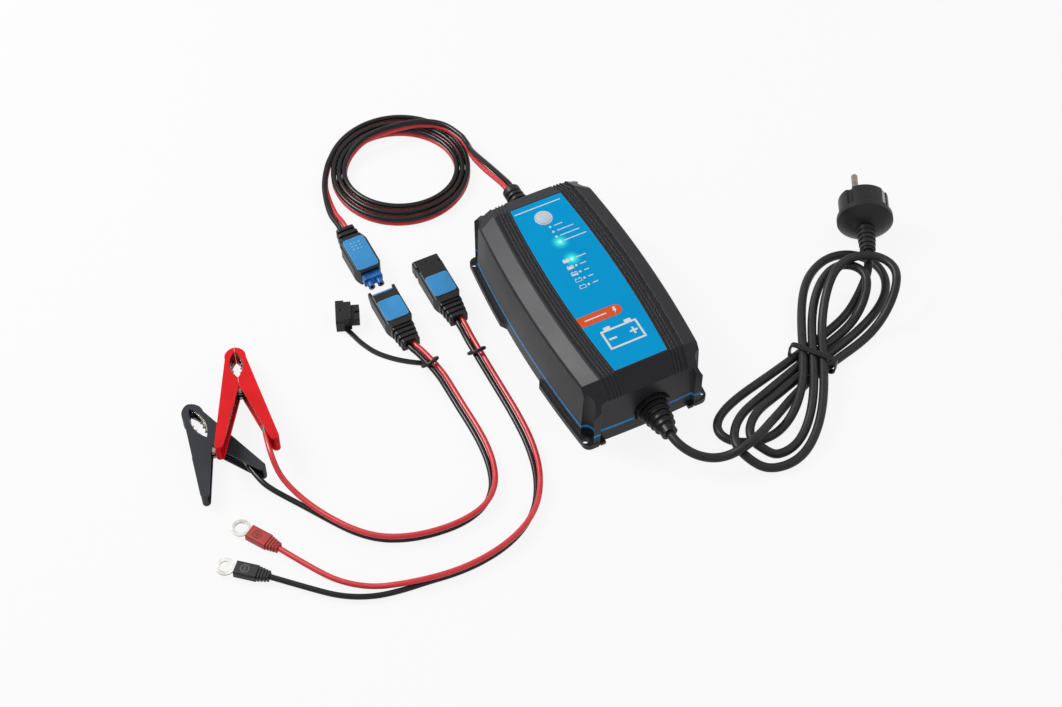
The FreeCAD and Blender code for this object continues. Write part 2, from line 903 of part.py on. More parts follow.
def make_mains_gland():
    way = Vector(0, -1, 0)
    seat = Vector(gland_x, -gland_seat_reach, gland_z)
    length = gland_rings * gland_ring_pitch
    parts = [octagon(gland_plate_flats, seat, way, gland_plate_thickness)]
    parts.extend(ribbed_boot(seat + way * gland_plate_thickness, way, length, gland_root_radius,
                             gland_neck_radius, gland_rings, gland_ring_pitch, gland_ring_length,
                             gland_core_ratio))
    sleeve_start = seat + way * (gland_plate_thickness + length - 0.5)
    parts.append(rod(gland_sleeve_radius, sleeve_start, way, gland_sleeve_length))
    parts.append(rod(gland_bore_radius - 0.1, seat, way * -1, gland_tail))
    body = fused(parts)
    end = sleeve_start + way * gland_sleeve_length
    return body.cut(rod(mains_cord_diameter / 2 + cord_socket_gap, end, way * -1, cord_socket_depth))


mains_cord_start_y = -(gland_seat_reach + gland_plate_thickness + gland_rings * gland_ring_pitch
                       - 0.5 + gland_sleeve_length - cord_socket_depth)


def make_out_gland():
    way = Vector(0, 1, 0)
    seat = Vector(out_gland_x, gland_seat_reach, out_gland_z)
    length = out_gland_root_length + out_gland_rings * out_gland_ring_pitch
    neck = out_gland_neck_radius * gland_core_ratio
    parts = [rod(out_gland_root_radius, seat, way, out_gland_root_length),
             tapered(out_gland_root_radius * gland_core_ratio, neck, seat, way, length + 1.0),
             rod(out_gland_bore_radius - 0.1, seat, way * -1, gland_tail)]
    for index in range(out_gland_rings):
        share = index / out_gland_rings
        radius = out_gland_root_radius + (out_gland_neck_radius - out_gland_root_radius) * share
        at = seat + way * (out_gland_root_length + (index + 0.2) * out_gland_ring_pitch)
        ring = rod(radius, at, way, out_gland_ring_length)
        parts.append(ring.makeFillet(out_gland_round, [ring.Edges[0], ring.Edges[2]]))
    knob = rod(out_gland_end_radius, seat + way * length, way, out_gland_end_length)
    parts.append(knob.makeFillet(out_gland_round * 1.6, [knob.Edges[0], knob.Edges[2]]))
    body = fused(parts)
    end = seat + way * (length + out_gland_end_length)
    holes = [rod(core_diameter / 2 + cord_socket_gap, end + Vector(dx, 0, 0), way * -1,
                 cord_socket_depth) for dx in (-core_pitch / 2, core_pitch / 2)]
    return body.cut(holes)


out_cord_start_y = (gland_seat_reach + out_gland_root_length + out_gland_rings * out_gland_ring_pitch
                    + out_gland_end_length - cord_socket_depth + cord_socket_gap)


# Inside the case

def make_main_board():
    return block(-board_width / 2, board_width / 2, -board_length / 2, board_length / 2,
                 board_z, board_z + board_thickness)


def make_core():
    z0 = board_z + board_thickness
    outer = block(core_x - core_width / 2, core_x + core_width / 2, core_y - core_length / 2,
                  core_y + core_length / 2, z0, z0 + core_height)
    windows = []
    for sx in (-1, 1):
        x0 = core_x + sx * core_leg / 2
        x1 = core_x + sx * (core_width / 2 - core_leg * 0.7)
        windows.append(block(min(x0, x1), max(x0, x1), core_y - core_length / 2 - 1,
                             core_y + core_length / 2 + 1, z0 + core_leg * 0.7,
                             z0 + core_height - core_leg * 0.7))
    return outer.cut(windows)


def make_winding():
    z0 = board_z + board_thickness + core_leg * 0.7 + 0.2
    z1 = board_z + board_thickness + core_height - core_leg * 0.7 - 0.2
    inner_x = core_leg / 2 + 0.2
    outer_x = core_width / 2 - core_leg * 0.7 - 0.2
    inner_y = core_length / 2 + 0.2
    outer = block(core_x - outer_x, core_x + outer_x, core_y - inner_y - winding_wall,
                  core_y + inner_y + winding_wall, z0, z1)
    hole = block(core_x - inner_x, core_x + inner_x, core_y - inner_y, core_y + inner_y,
                 z0 - 1, z1 + 1)
    return outer.cut(hole)


def make_capacitors():
    z0 = board_z + board_thickness
    return group([rod(capacitor_radius, Vector(x, y, z0), Vector(0, 0, 1), capacitor_height)
                  for x, y in capacitor_places])


def make_heatsink():
    z0 = board_z + board_thickness
    back = heatsink_x + heatsink_thickness
    body = block(heatsink_x, back, heatsink_y - heatsink_length / 2,
                 heatsink_y + heatsink_length / 2, z0, z0 + heatsink_height)
    fins = []
    for index in range(fin_count):
        y = heatsink_y + (index - (fin_count - 1) / 2) * heatsink_length / fin_count
        fins.append(block(back - 0.1, back + fin_depth, y - 1.0, y + 1.0, z0, z0 + heatsink_height))
    return fused([body] + fins)


def make_transistors():
    z0 = board_z + board_thickness
    parts = []
    for index in range(transistor_count):
        y = heatsink_y + (index - (transistor_count - 1) / 2) * transistor_pitch
        parts.append(block(heatsink_x - transistor_thickness, heatsink_x, y - transistor_width / 2,
                           y + transistor_width / 2, z0, z0 + transistor_height))
    return group(parts)


def make_choke():
    centre = Vector(choke_x, choke_y, board_z + board_thickness + choke_wire)
    return Part.makeTorus(choke_radius - choke_wire, choke_wire, centre, Vector(0, 0, 1))


def make_fuse():
    z = board_z + board_thickness + fuse_radius + 1.5
    tube_body = rod(fuse_radius, Vector(fuse_x, fuse_y - fuse_length / 2, z), Vector(0, 1, 0), fuse_length)
    clips = []
    for y in (fuse_y - fuse_length / 2, fuse_y + fuse_length / 2 - fuse_clip):
        clip = block(fuse_x - fuse_radius - 0.6, fuse_x + fuse_radius + 0.6, y, y + fuse_clip,
                     board_z + board_thickness, z)
        clips.append(clip)
    return fused([tube_body] + clips)


# Connectors of the two-core leads

def turned(shape, degrees, x, y, z=0.0):
    """Rotate about the vertical at the origin, then move."""
    copy = shape.copy()
    copy.rotate(Vector(0, 0, 0), Vector(0, 0, 1), degrees)
    copy.translate(Vector(x, y, z))
    return copy


def cord_boot(y0, y1, z):
    """Ribbed boot along Y at x = 0, from the body at y0 to its end at y1."""
    way = 1 if y1 > y0 else -1
    low, high = min(y0, y1), max(y0, y1)
    core = bar(boot_width - 2 * boot_groove_depth, boot_height - 2 * boot_groove_depth, 2.0,
               0.0, low, high, z)
    parts = [core]
    length = abs(y1 - y0)
    count = max(2, int((length + boot_groove) / (boot_rib + boot_groove)))
    pitch = (length - boot_rib) / (count - 1)
    for index in range(count):
        start = y0 + way * index * pitch
        end = start + way * boot_rib
        widen = 1.0 + 0.25 * (1 - index / (count - 1))
        parts.append(bar(boot_width * widen, boot_height * (1.0 + 0.1 * (widen - 1.0)), 2.2, 0.0,
                         min(start, end), max(start, end), z))
    return parts


def cord_sockets(y_end, z, way):
    """Two blind holes side by side for the cores in a boot's end; way points out of the boot."""
    return [rod(core_diameter / 2 + cord_socket_gap, Vector(dx, y_end, z), way * -1,
                cord_socket_depth) for dx in (-core_pitch / 2, core_pitch / 2)]


def shoulder_cuts(y_end, way):
    """Corner blocks that slope a body's sides in towards its boot."""
    cuts = []
    for sx in (-1, 1):
        outer = sx * (connector_width / 2 + overcut)
        inner = sx * (connector_width / 2 - shoulder_in)
        far = y_end + way * overcut
        corner = polygon([Vector(outer, y_end - way * shoulder_length * 1.35, -overcut),
                          Vector(outer, far, -overcut), Vector(inner, far, -overcut)])
        cuts.append(corner.extrude(Vector(0, 0, connector_height + 2 * overcut)))
    return cuts


body_mid_z = connector_height / 2


def make_output_body():
    body = bar(connector_width, connector_height, connector_corner, 0.0,
               output_front_y, output_rear_y, body_mid_z)
    body = body.cut(shoulder_cuts(output_rear_y, 1) + shoulder_cuts(output_front_y, -1))
    parts = [body] + cord_boot(output_rear_y - 0.5, output_boot_y, body_mid_z)
    solid = fused(parts)
    front_room = bar(nose_width, nose_height, 1.2, 0.0, output_front_y - 1.0,
                     output_front_y + contact_depth, body_mid_z)
    pad_room = pad(output_pad_width, output_pad_length, output_front_y + 2.0 + output_pad_length / 2,
                   connector_height - pad_depth, connector_height + 1.0)
    return solid.cut([front_room, pad_room] + cord_sockets(output_boot_y, body_mid_z, Vector(0, 1, 0)))


pad_depth = 1.2


def pad(width, length, y, z0, z1):
    return plate(width, length, pad_corner, 0.0, y, z0, z1)


def make_output_insert():
    core = bar(nose_width, nose_height, 1.2, 0.0, output_front_y - nose_length,
               output_front_y + contact_depth, body_mid_z)
    parts = [core]
    for sx in (-1, 1):
        parts.append(rod(barrel_radius, Vector(sx * barrel_pitch / 2,
                                               output_front_y - nose_length - barrel_length, body_mid_z),
                         Vector(0, 1, 0), barrel_length + 1.0))
    core = fused(parts)
    bores = [rod(barrel_bore + contact_wall, Vector(sx * barrel_pitch / 2,
                 output_front_y - nose_length - barrel_length - 1.0, body_mid_z), Vector(0, 1, 0),
                 contact_depth + 1.0) for sx in (-1, 1)]
    core = core.cut(bores)
    middle = output_front_y + 2.0 + output_pad_length / 2
    top = pad(output_pad_width, output_pad_length, middle, connector_height - pad_depth,
              connector_height + pad_proud)
    return group([core, top])


def make_output_contacts():
    start = output_front_y - nose_length - barrel_length + 0.4
    tubes = []
    for sx in (-1, 1):
        at = Vector(sx * barrel_pitch / 2, start, body_mid_z)
        shell = rod(barrel_bore + contact_wall, at, Vector(0, 1, 0), contact_depth - 0.4)
        tubes.append(shell.cut(rod(barrel_bore, at - Vector(0, 1, 0), Vector(0, 1, 0),
                                   contact_depth - 0.4)))
    return group(tubes)


def make_socket_body():
    mouth = socket_mouth_y
    body = bar(connector_width, connector_height, connector_corner, 0.0,
               socket_shoulder_y, mouth, body_mid_z)
    body = body.cut(shoulder_cuts(socket_shoulder_y, -1))
    parts = [body] + cord_boot(socket_shoulder_y + 0.5, socket_boot_y, body_mid_z)
    for sx in (-1, 1):
        outer = sx * connector_width / 2
        inner = outer - sx * socket_horn_width
        low_z = 1.6
        high_z = connector_height - 1.6
        horn = polygon([Vector(inner, mouth - 1.0, low_z), Vector(inner, mouth, low_z),
                        Vector(inner, mouth + socket_horn, body_mid_z + 1.0),
                        Vector(inner, mouth + socket_horn, high_z), Vector(inner, mouth - 1.0, high_z)])
        parts.append(horn.extrude(Vector(outer - inner, 0, 0)))
    solid = fused(parts)
    room = bar(sleeve_width, sleeve_height, 1.6, 0.0, mouth + sleeve_front - sleeve_depth - sleeve_wall,
               mouth + 20.0, body_mid_z)
    pad_y = mouth - socket_pad_gap - socket_pad_length / 2
    pad_room = pad(socket_pad_width, socket_pad_length, pad_y, connector_height - pad_depth,
                   connector_height + 1.0)
    return solid.cut([room, pad_room] + cord_sockets(socket_boot_y, body_mid_z, Vector(0, -1, 0)))


def pocket_floor():
    return socket_mouth_y + sleeve_front - sleeve_depth


def make_socket_insert():
    front = socket_mouth_y + sleeve_front
    sleeve = bar(sleeve_width, sleeve_height, 1.6, 0.0, pocket_floor() - sleeve_wall, front, body_mid_z)
    room = bar(sleeve_width - 2 * sleeve_wall, sleeve_height - 2 * sleeve_wall, 1.2, 0.0,
               pocket_floor(), front + 1.0, body_mid_z)
    sleeve = sleeve.cut([room] + [rod(pin_radius, Vector(sx * barrel_pitch / 2,
                        pocket_floor() - sleeve_wall - 1, body_mid_z), Vector(0, 1, 0), 4.0)
                        for sx in (-1, 1)])
    pad_y = socket_mouth_y - socket_pad_gap - socket_pad_length / 2
    top = pad(socket_pad_width, socket_pad_length, pad_y, connector_height - pad_depth,
              connector_height + pad_proud)
    return group([sleeve, top])


def make_socket_pins():
    return group([rod(pin_radius, Vector(sx * barrel_pitch / 2, pocket_floor() - sleeve_wall, body_mid_z),
                      Vector(0, 1, 0), pin_length + sleeve_wall) for sx in (-1, 1)])


cap_step = socket_horn + 0.3
cap_gap = 0.3


def make_cap_head():
    """Rubber cap seated on a socket whose mouth is at socket_mouth_y."""
    start = socket_mouth_y + cap_gap
    outer_y = start + cap_step + cap_thickness
    head = bar(cap_width, cap_height, 2.0, 0.0, start, outer_y, body_mid_z)
    recess = bar(sleeve_width + 2 * cap_gap, sleeve_height + 2 * cap_gap, 1.8, 0.0, start - 1.0,
                 socket_mouth_y + sleeve_front + cap_gap, body_mid_z)
    cuts = [recess]
    for sx in (-1, 1):
        inner = cap_width / 2 - socket_horn_width - cap_gap
        x0, x1 = sorted((sx * inner, sx * (connector_width + 4.0) / 2))
        cuts.append(block(x0, x1, start - 1.0, start + cap_step, -1.0, connector_height + 2.0))
    head = head.cut(cuts)
    body_start = socket_mouth_y + sleeve_front - cap_plug_length
    body = bar(cap_plug_width, cap_plug_height, 1.4, 0.0, body_start,
               socket_mouth_y + sleeve_front + cap_gap + 1.0, body_mid_z)
    holes = [rod(pin_radius + cap_pin_clearance, Vector(sx * barrel_pitch / 2, body_start - 1.0,
                 body_mid_z), Vector(0, 1, 0), cap_plug_length + 1.5) for sx in (-1, 1)]
    notch = block(-1.0, 1.0, body_start - 1.0, body_start + 3.5, body_mid_z - cap_plug_height,
                  body_mid_z + cap_plug_height)
    head = fused([head, body]).cut(holes + [notch])
    dimple = rod(1.1, Vector(0, outer_y - 4.0, body_mid_z + cap_height / 2 - 0.6), Vector(0, 0, 1), 2.0)
    return head.cut(dimple)


def cap_outer_y():
    return socket_mouth_y + cap_gap + cap_step + cap_thickness


def strap(route, z0):
    """Flat strap on the floor along a plan route."""
    edges, _ = tube_path([(x, y, z0 + strap_thickness / 2) for x, y in route])
    first = edges[0]
    start = first.valueAt(first.FirstParameter)
    way = first.tangentAt(first.FirstParameter)
    side = Vector(-way.y, way.x, 0) * (strap_width / 2)
    up = Vector(0, 0, strap_thickness / 2)
    section = Part.makePolygon([start + side + up, start - side + up, start - side - up,
                                start + side - up, start + side + up])
    return Part.Wire(edges).makePipeShell([section], True, False)


def cord_ring(x, y, degrees):
    """Loose round ring about the pair of cores; its top leans the way the lead runs."""
    ring = Part.makeTorus(cap_ring_radius, cap_ring_wire)
    ring.rotate(Vector(0, 0, 0), Vector(1, 0, 0), 90 + cap_ring_lean)
    return turned(ring, degrees, x, y, ring_z_mid)


ring_z_mid = floor_gap + cap_ring_wire + cap_ring_radius * math.cos(math.radians(cap_ring_lean))
ring_foot = cap_ring_radius * math.sin(math.radians(cap_ring_lean))
eyelet_ring_y = 14.7
eyelet_ring_x = eyelet_socket_x
clamp_ring = (-114.4, 20.5)
clamp_ring_heading = 12.8
loose_cap_angle = 68.3
loose_cap_outer = (-158.2, 88.6)
clamp_strap = [(-156.8, 84.5), (-153.4, 74.5), (-150.4, 62.0), (-144.5, 49.0), (-135.5, 38.5),
               (-126.0, 30.5), (-116.6, 24.4)]


def make_eyelet_cap():
    lift = eyelet_socket_lift
    head = moved(make_cap_head(), Vector(eyelet_socket_x, eyelet_socket_dy, lift))
    outer = cap_outer_y() + eyelet_socket_dy
    run = block(eyelet_socket_x - strap_width / 2, eyelet_socket_x + strap_width / 2,
                eyelet_ring_y + ring_foot - cap_ring_wire, outer, floor_gap,
                floor_gap + strap_thickness)
    riser = block(eyelet_socket_x - strap_width / 2, eyelet_socket_x + strap_width / 2,
                  outer - cap_thickness + 1.0, outer - 0.6, floor_gap, lift + 2.0)
    ring = cord_ring(eyelet_ring_x, eyelet_ring_y, 0.0)
    return fused([head, run, riser, ring])


def make_clamp_cap():
    head = make_cap_head()
    head.translate(Vector(0, -cap_outer_y(), -(body_mid_z - cap_height / 2) + floor_gap))
    head = turned(head, loose_cap_angle, loose_cap_outer[0], loose_cap_outer[1])
    band = strap([(x, y) for x, y in clamp_strap], floor_gap)
    ring = cord_ring(clamp_ring[0], clamp_ring[1], clamp_ring_heading)
    return fused([head, band, ring])


# Plug

plug_way = Vector(plug_axis_x, plug_axis_y, 0).normalize()
plug_centre = Vector(plug_flange_x, plug_flange_y, plug_z)


def plug_point(distance):
    return plug_centre + plug_way * distance


def plug_radial(degrees):
    """Unit vector across the plug's axis, measured from its right-hand side towards up."""
    right = Vector(plug_way.y, -plug_way.x, 0)
    angle = math.radians(degrees)
    return right * math.cos(angle) + Vector(0, 0, 1) * math.sin(angle)


def make_plug_body():
    face_start = plug_flange_thickness / 2
    flange = rod(plug_flange_radius, plug_point(-face_start), plug_way, plug_flange_thickness)
    face = rod(plug_face_radius, plug_point(0), plug_way, face_start + plug_face_length)
    rise = plug_dome_length
    ball = (plug_flange_radius ** 2 + rise ** 2) / (2 * rise)
    centre = plug_point(-face_start + ball - rise)
    dome = Part.makeSphere(ball, centre)
    keep = rod(plug_flange_radius, plug_point(-face_start - rise - 1.0), plug_way, rise + 1.0 + 0.5)
    dome = dome.common(keep)
    relief_start = plug_point(-face_start - rise + 1.2)
    parts = [flange, face, dome]
    pitch = plug_relief_length / (plug_relief_ribs + 0.5)
    parts.extend(ribbed_boot(relief_start, plug_way * -1, plug_relief_length, plug_relief_root,
                             plug_relief_end, plug_relief_ribs, pitch, pitch * 0.62, 0.86))
    body = fused(parts)
    end = relief_start - plug_way * plug_relief_length
    cuts = [rod(mains_cord_diameter / 2 + cord_socket_gap, end, plug_way, cord_socket_depth)]
    front = plug_point(face_start + plug_face_length)
    for degrees in (plug_roll, plug_roll + 180):
        at = front + plug_radial(degrees) * (plug_pin_pitch / 2)
        cuts.append(rod(plug_shank_radius, at, plug_way * -1, plug_shank_length))
        groove_at = plug_point(face_start) + plug_radial(degrees) * (plug_face_radius + 0.6)
        cuts.append(rod(plug_notch_radius, groove_at, plug_way, plug_face_length + 2.0))
    for degrees in (plug_roll - 90, plug_roll + 90):
        cuts.append(earth_box(degrees, plug_face_radius - plug_notch_depth, plug_face_radius + 3.0,
                              earth_strip_length + 2.0, earth_strip_width + 0.6))
    return body.cut(cuts)


def earth_box(degrees, inner, outer, length, width):
    """Box at the plug's side, its front end at the plug's face."""
    out = plug_radial(degrees)
    across = out.cross(plug_way)
    front = plug_point(plug_flange_thickness / 2 + plug_face_length)
    corner = front + out * inner - across * (width / 2)
    face = polygon([corner, corner + across * width, corner + across * width + out * (outer - inner),
                    corner + out * (outer - inner)])
    return face.extrude(plug_way * -length)


def make_plug_pins():
    front = plug_point(plug_flange_thickness / 2 + plug_face_length)
    pins = []
    for degrees in (plug_roll, plug_roll + 180):
        at = front + plug_radial(degrees) * (plug_pin_pitch / 2)
        shank = rod(plug_shank_radius, at, plug_way * -1, plug_shank_length)
        pin = rod(plug_pin_radius, at, plug_way, plug_pin_length - plug_pin_tip)
        tip = tapered(plug_pin_radius, plug_pin_radius * 0.6,
                      at + plug_way * (plug_pin_length - plug_pin_tip), plug_way, plug_pin_tip)
        pins.append(fused([shank, pin, tip]))
    return group(pins)


def make_plug_earth():
    seat = plug_face_radius - plug_notch_depth
    return group([earth_box(degrees, seat, seat + earth_strip_thickness, earth_strip_length,
                            earth_strip_width) for degrees in (plug_roll - 90, plug_roll + 90)])


def plug_cord_end():
    start = plug_point(-plug_flange_thickness / 2 - plug_dome_length + 1.2)
    return start - plug_way * (plug_relief_length - cord_socket_depth)


# Battery clamps, made lying flat with the pivot at the origin and the tip at +Y

def clamp_corners(spread, length):
    """Outer and inner corners of the handle's end of the fixed half."""
    angle = math.radians(spread)
    along = Vector(math.sin(angle), -math.cos(angle), 0)
    across = Vector(math.cos(angle), math.sin(angle), 0)
    outer = Vector(clamp_shoulder_x, clamp_shoulder_y, 0) + along * length
    return outer, outer - across * clamp_end_width, along, across


def clamp_outline(side, spread, length, inset, open_in, eye_half):
    """Plan of one half; side is -1 for the moving half and 1 for the fixed one."""
    outer, inner, along, across = clamp_corners(spread, length)
    outer_end = outer - across * inset - along * inset
    far_end = outer - across * (clamp_end_width * 0.5) + along * (clamp_end_width * 0.46 - inset)
    inner_end = inner - across * open_in - along * inset
    gap = clamp_meet_gap / 2 - open_in
    tip = clamp_tip - inset
    shoulder = Vector(clamp_shoulder_x, clamp_shoulder_y, 0) - across * inset
    lead = Vector(clamp_shoulder_x * 0.68 - inset * 0.5, tip - 2.9, 0)
    points = {
        "tip": Vector(gap, tip, 0), "lead": lead, "shoulder": shoulder, "outer_end": outer_end,
        "far_end": far_end, "inner_end": inner_end, "pivot": Vector(gap, 0, 0),
        "eye_low": Vector(gap, clamp_eye_start, 0),
        "eye": Vector(eye_half, eye_middle, 0),
        "eye_high": Vector(gap, clamp_tip - 4.2 - inset, 0)}
    flat = {key: Vector(side * p.x, p.y, 0) for key, p in points.items()}
    edges = [Part.Arc(flat["tip"], flat["lead"], flat["shoulder"]).toShape(),
             Part.makeLine(flat["shoulder"], flat["outer_end"]),
             Part.Arc(flat["outer_end"], flat["far_end"], flat["inner_end"]).toShape(),
             Part.makeLine(flat["inner_end"], flat["pivot"]),
             Part.makeLine(flat["pivot"], flat["eye_low"])]
    if not eye_half:
        edges.append(Part.makeLine(flat["eye_low"], flat["tip"]))
    else:
        edges.append(Part.Arc(flat["eye_low"], flat["eye"], flat["eye_high"]).toShape())
        edges.append(Part.makeLine(flat["eye_high"], flat["tip"]))
    return Part.Face(Part.Wire(edges))


def raised(face, z0, z1):
    return moved(face.extrude(Vector(0, 0, z1 - z0)), Vector(0, 0, z0))


def make_cover(side, spread, length):
    """Plastic channel, open towards the other half, with grip ridges on its back."""
    solid = raised(clamp_outline(side, spread, length, 0.0, 0.0, clamp_eye_half), 0.0, clamp_height)
    outer, _, along, across = clamp_corners(spread, length)
    ridges = []
    for index in range(grip_ridges):
        at = outer - along * (6.0 + index * grip_pitch)
        foot = Vector(side * (at.x - across.x * 0.5), at.y - across.y * 0.5, 2.0)
        ridges.append(rod(grip_radius, foot, Vector(0, 0, 1), clamp_height - 4.0))
    solid = solid.fuse(ridges)
    room = raised(clamp_outline(side, spread, length, clamp_skin, 14.0, 0.0), clamp_skin,
                  clamp_height - clamp_skin)
    tip_keep = block(-20, 20, clamp_tip - 5.0, clamp_tip + 5.0, 0, clamp_height)
    return solid.cut(room.cut(tip_keep))


def make_jaw(side, spread, length, low, high):
    """Pressed metal channel with ears round the pivot and teeth along the eye."""
    inset = clamp_skin + jaw_play
    outer = raised(clamp_outline(side, spread, length - 9.0, inset, -jaw_recess,
                                 clamp_eye_half - jaw_show), low, high)
    room = raised(clamp_outline(side, spread, length - 9.0, inset + jaw_sheet, 14.0, 0.0),
                  low + jaw_sheet, high - jaw_sheet)
    inside_cover = raised(clamp_outline(side, spread, length, inset, 14.0, 0.0), low, high)
    outer = outer.common(inside_cover)
    above = block(-40, 40, clamp_tip - jaw_stop, clamp_tip + 9.0, 0, clamp_height)
    ear_room = rod(pivot_ear + jaw_gap, Vector(0, 0, 0), Vector(0, 0, 1), clamp_height)
    body = outer.cut([room, above, ear_room])
    extras = []
    for z in (low, high - jaw_sheet):
        extras.append(rod(pivot_ear, Vector(0, 0, z), Vector(0, 0, 1), jaw_sheet))
        extras.append(block(min(0, side * 7.0), max(0, side * 7.0), -2.5, 2.5, z, z + jaw_sheet))
        for index in range(jaw_teeth):
            y = clamp_eye_start + tooth_start + index * tooth_pitch
            edge = clamp_eye_half - jaw_show - ((y - eye_middle) / tooth_fall) ** 2
            tooth = polygon([Vector(side * (edge + 1.5), y - tooth_half, z),
                             Vector(side * (edge + 1.5), y + tooth_half, z),
                             Vector(side * (edge - jaw_tooth), y, z)])
            extras.append(tooth.extrude(Vector(0, 0, jaw_sheet)))
    body = body.fuse(extras)
    return body.cut(rod(pivot_radius + pivot_clearance, Vector(0, 0, -1), Vector(0, 0, 1), 20.0))


pivot_ear = 4.4
fixed_low = clamp_skin + 0.05
fixed_high = clamp_height - clamp_skin - 0.05
moving_low = fixed_low + jaw_sheet + jaw_gap
moving_high = fixed_high - jaw_sheet - jaw_gap


def cord_exit(spread, length):
    """Where and which way the cord leaves the fixed handle."""
    _, inner, _, _ = clamp_corners(spread, length)
    angle = math.radians(spread * cord_exit_share)
    way = Vector(math.sin(angle), -math.cos(angle), 0)
    end = inner - Vector(core_diameter / 2 + 0.6, 0, 0)
    return Vector(end.x, end.y, clamp_height / 2), way


def crimp_face(spread, length):
    end, way = cord_exit(spread, length)
    return end - way * cord_inside


def make_fixed_jaw(spread, length):
    jaw = make_jaw(1, spread, length, fixed_low, fixed_high)
    _, way = cord_exit(spread, length)
    face = crimp_face(spread, length)
    crimp = rod(core_diameter / 2 - 0.2, face, way * -1, crimp_length)
    foot = face - way * (crimp_length - 1.5)
    post = rod(1.4, Vector(foot.x, foot.y, fixed_low), Vector(0, 0, 1), clamp_height / 2 - fixed_low)
    return fused([jaw, crimp, post])


def make_pivot():
    return rod(pivot_radius, Vector(0, 0, fixed_low), Vector(0, 0, 1), fixed_high - fixed_low)


def make_spring(spread, length):
    """Torsion spring: turns round the pivot, with a leg along each handle's channel."""
    middle = clamp_height / 2
    lean = math.radians(spread * spring_lean)

    def place(t):
        angle = math.pi - lean - (spring_turns * 2 * math.pi + math.pi - 2 * lean) * t
        rise = t - math.sin(2 * math.pi * t) / (2 * math.pi)
        return Vector(spring_radius * math.cos(angle), spring_radius * math.sin(angle),
                      middle + spring_rise * (rise - 0.5))

    edges = formula_path(place, spring_turns * 4 + 2, spring_leg)
    solid, _ = swept(edges, spring_wire)
    print("spring gap to itself %.2f" % own_gap(edges, spring_wire))
    return solid


def place_clamp(shape, pivot, heading, tilt):
    copy = shape.copy()
    copy.rotate(Vector(0, clamp_tip, 0), Vector(1, 0, 0), -tilt)
    copy.rotate(Vector(0, 0, 0), Vector(0, 0, 1), heading)
    copy.translate(Vector(pivot[0], pivot[1], floor_gap))
    return copy


def clamp_point(point, pivot, heading, tilt):
    """Where a point of the flat clamp lies once the clamp is placed."""
    marker = Part.Vertex(point)
    return place_clamp(marker, pivot, heading, tilt).Point


# Ring terminals, made with the ring's centre at the origin and the boot along +X

def make_terminal_boot():
    """Flat rubber boot that tapers through its ribs to the cord, made along +Y and turned to +X."""
    start = ring_outer + 0.6
    z_mid = terminal_boot_height / 2
    ribs_start = start + terminal_boot_length
    end_y = ribs_start + terminal_rib_length
    parts = [bar(terminal_boot_width, terminal_boot_height, 1.6, 0.0, start, ribs_start, z_mid),
             bar(terminal_rib_end - 1.0, terminal_rib_height - 1.4, 1.1, 0.0, ribs_start - 0.5,
                 end_y - 0.5, z_mid)]
    pitch = terminal_rib_length / terminal_ribs
    for index in range(terminal_ribs):
        share = index / (terminal_ribs - 1)
        width = terminal_rib_width + (terminal_rib_end - terminal_rib_width) * share
        rib_end = ribs_start + (index + 1) * pitch
        parts.append(bar(width, terminal_rib_height, 1.4, 0.0, rib_end - pitch * 0.62, rib_end, z_mid))
    solid = fused(parts)
    slot = block(-ring_neck_width / 2, ring_neck_width / 2, start - 1.0, start + 6.0, ring_z,
                 ring_z + ring_thickness)
    solid = solid.cut([slot, rod(core_diameter / 2 + cord_socket_gap, Vector(0, end_y, z_mid),
                                 Vector(0, -1, 0), cord_socket_depth)])
    return turned(solid, -90, 0, 0)


def make_ring():
    disc = rod(ring_outer, Vector(0, 0, ring_z), Vector(0, 0, 1), ring_thickness)
    neck = block(0.0, ring_outer + 6.0, -ring_neck_width / 2 + 0.05, ring_neck_width / 2 - 0.05,
                 ring_z, ring_z + ring_thickness)
    hole = rod(ring_hole, Vector(0, 0, 0), Vector(0, 0, 1), 10.0)
    return fused([disc, neck]).cut(hole)


def terminal_cord_end(ring, angle):
    reach = (ring_outer + 0.6 + terminal_boot_length + terminal_rib_length - cord_socket_depth
             + cord_socket_gap)
    turn = math.radians(angle)
    return (ring[0] + reach * math.cos(turn), ring[1] + reach * math.sin(turn),
            floor_gap + terminal_boot_height / 2)


# Leads: points of the pair's middle line, each with the turn of the pair about that line: 0 has
# the first core on top, 90 has it on the right of the way along the lead, -90 on the left

coil_centre = (-56.65, 199.8)
coil_wide = (0.893, -0.45)
coil_deep = (0.45, 0.893)
coil_back = -1.2
coil_start_angle = 29.0
coil_pass_end = 112.0
coil_end_angle = 1254.0
coil_pass_turn = 2.9
coil_least = (42.1, 35.3)
coil_growth = (4.25, 6.8)
coil_lift = 8.9
coil_fall = 65.0
coil_lead = 4.0
coil_joint_length = 8.0
lower_core_z = floor_gap + core_diameter / 2
out_lead = [(out_gland_x, out_cord_start_y, out_gland_z, 90), (-2.5, 121.5, 38.0, 90),
            (-3.0, 129.5, 35.6, 88), (-3.6, 139.0, 32.4, 76), (-4.2, 149.0, 28.9, 58),
            (-4.5, 159.5, 25.0, 38), (-4.7, 170.5, 20.9, 19), (-4.4, 180.5, 17.2, 5)]
out_tail = [(-115.4, 208.5, 4.35, 12), (-118.0, 198.0, 4.5, 33), (-119.9, 188.0, 4.9, 55),
            (-120.9, 178.5, 5.7, 75), (output_connector_x, 169.5, 6.7, 88),
            (output_connector_x, 164.0, 7.0, 90),
            (output_connector_x, output_boot_y + output_connector_dy - cord_socket_depth, 7.0, 90)]
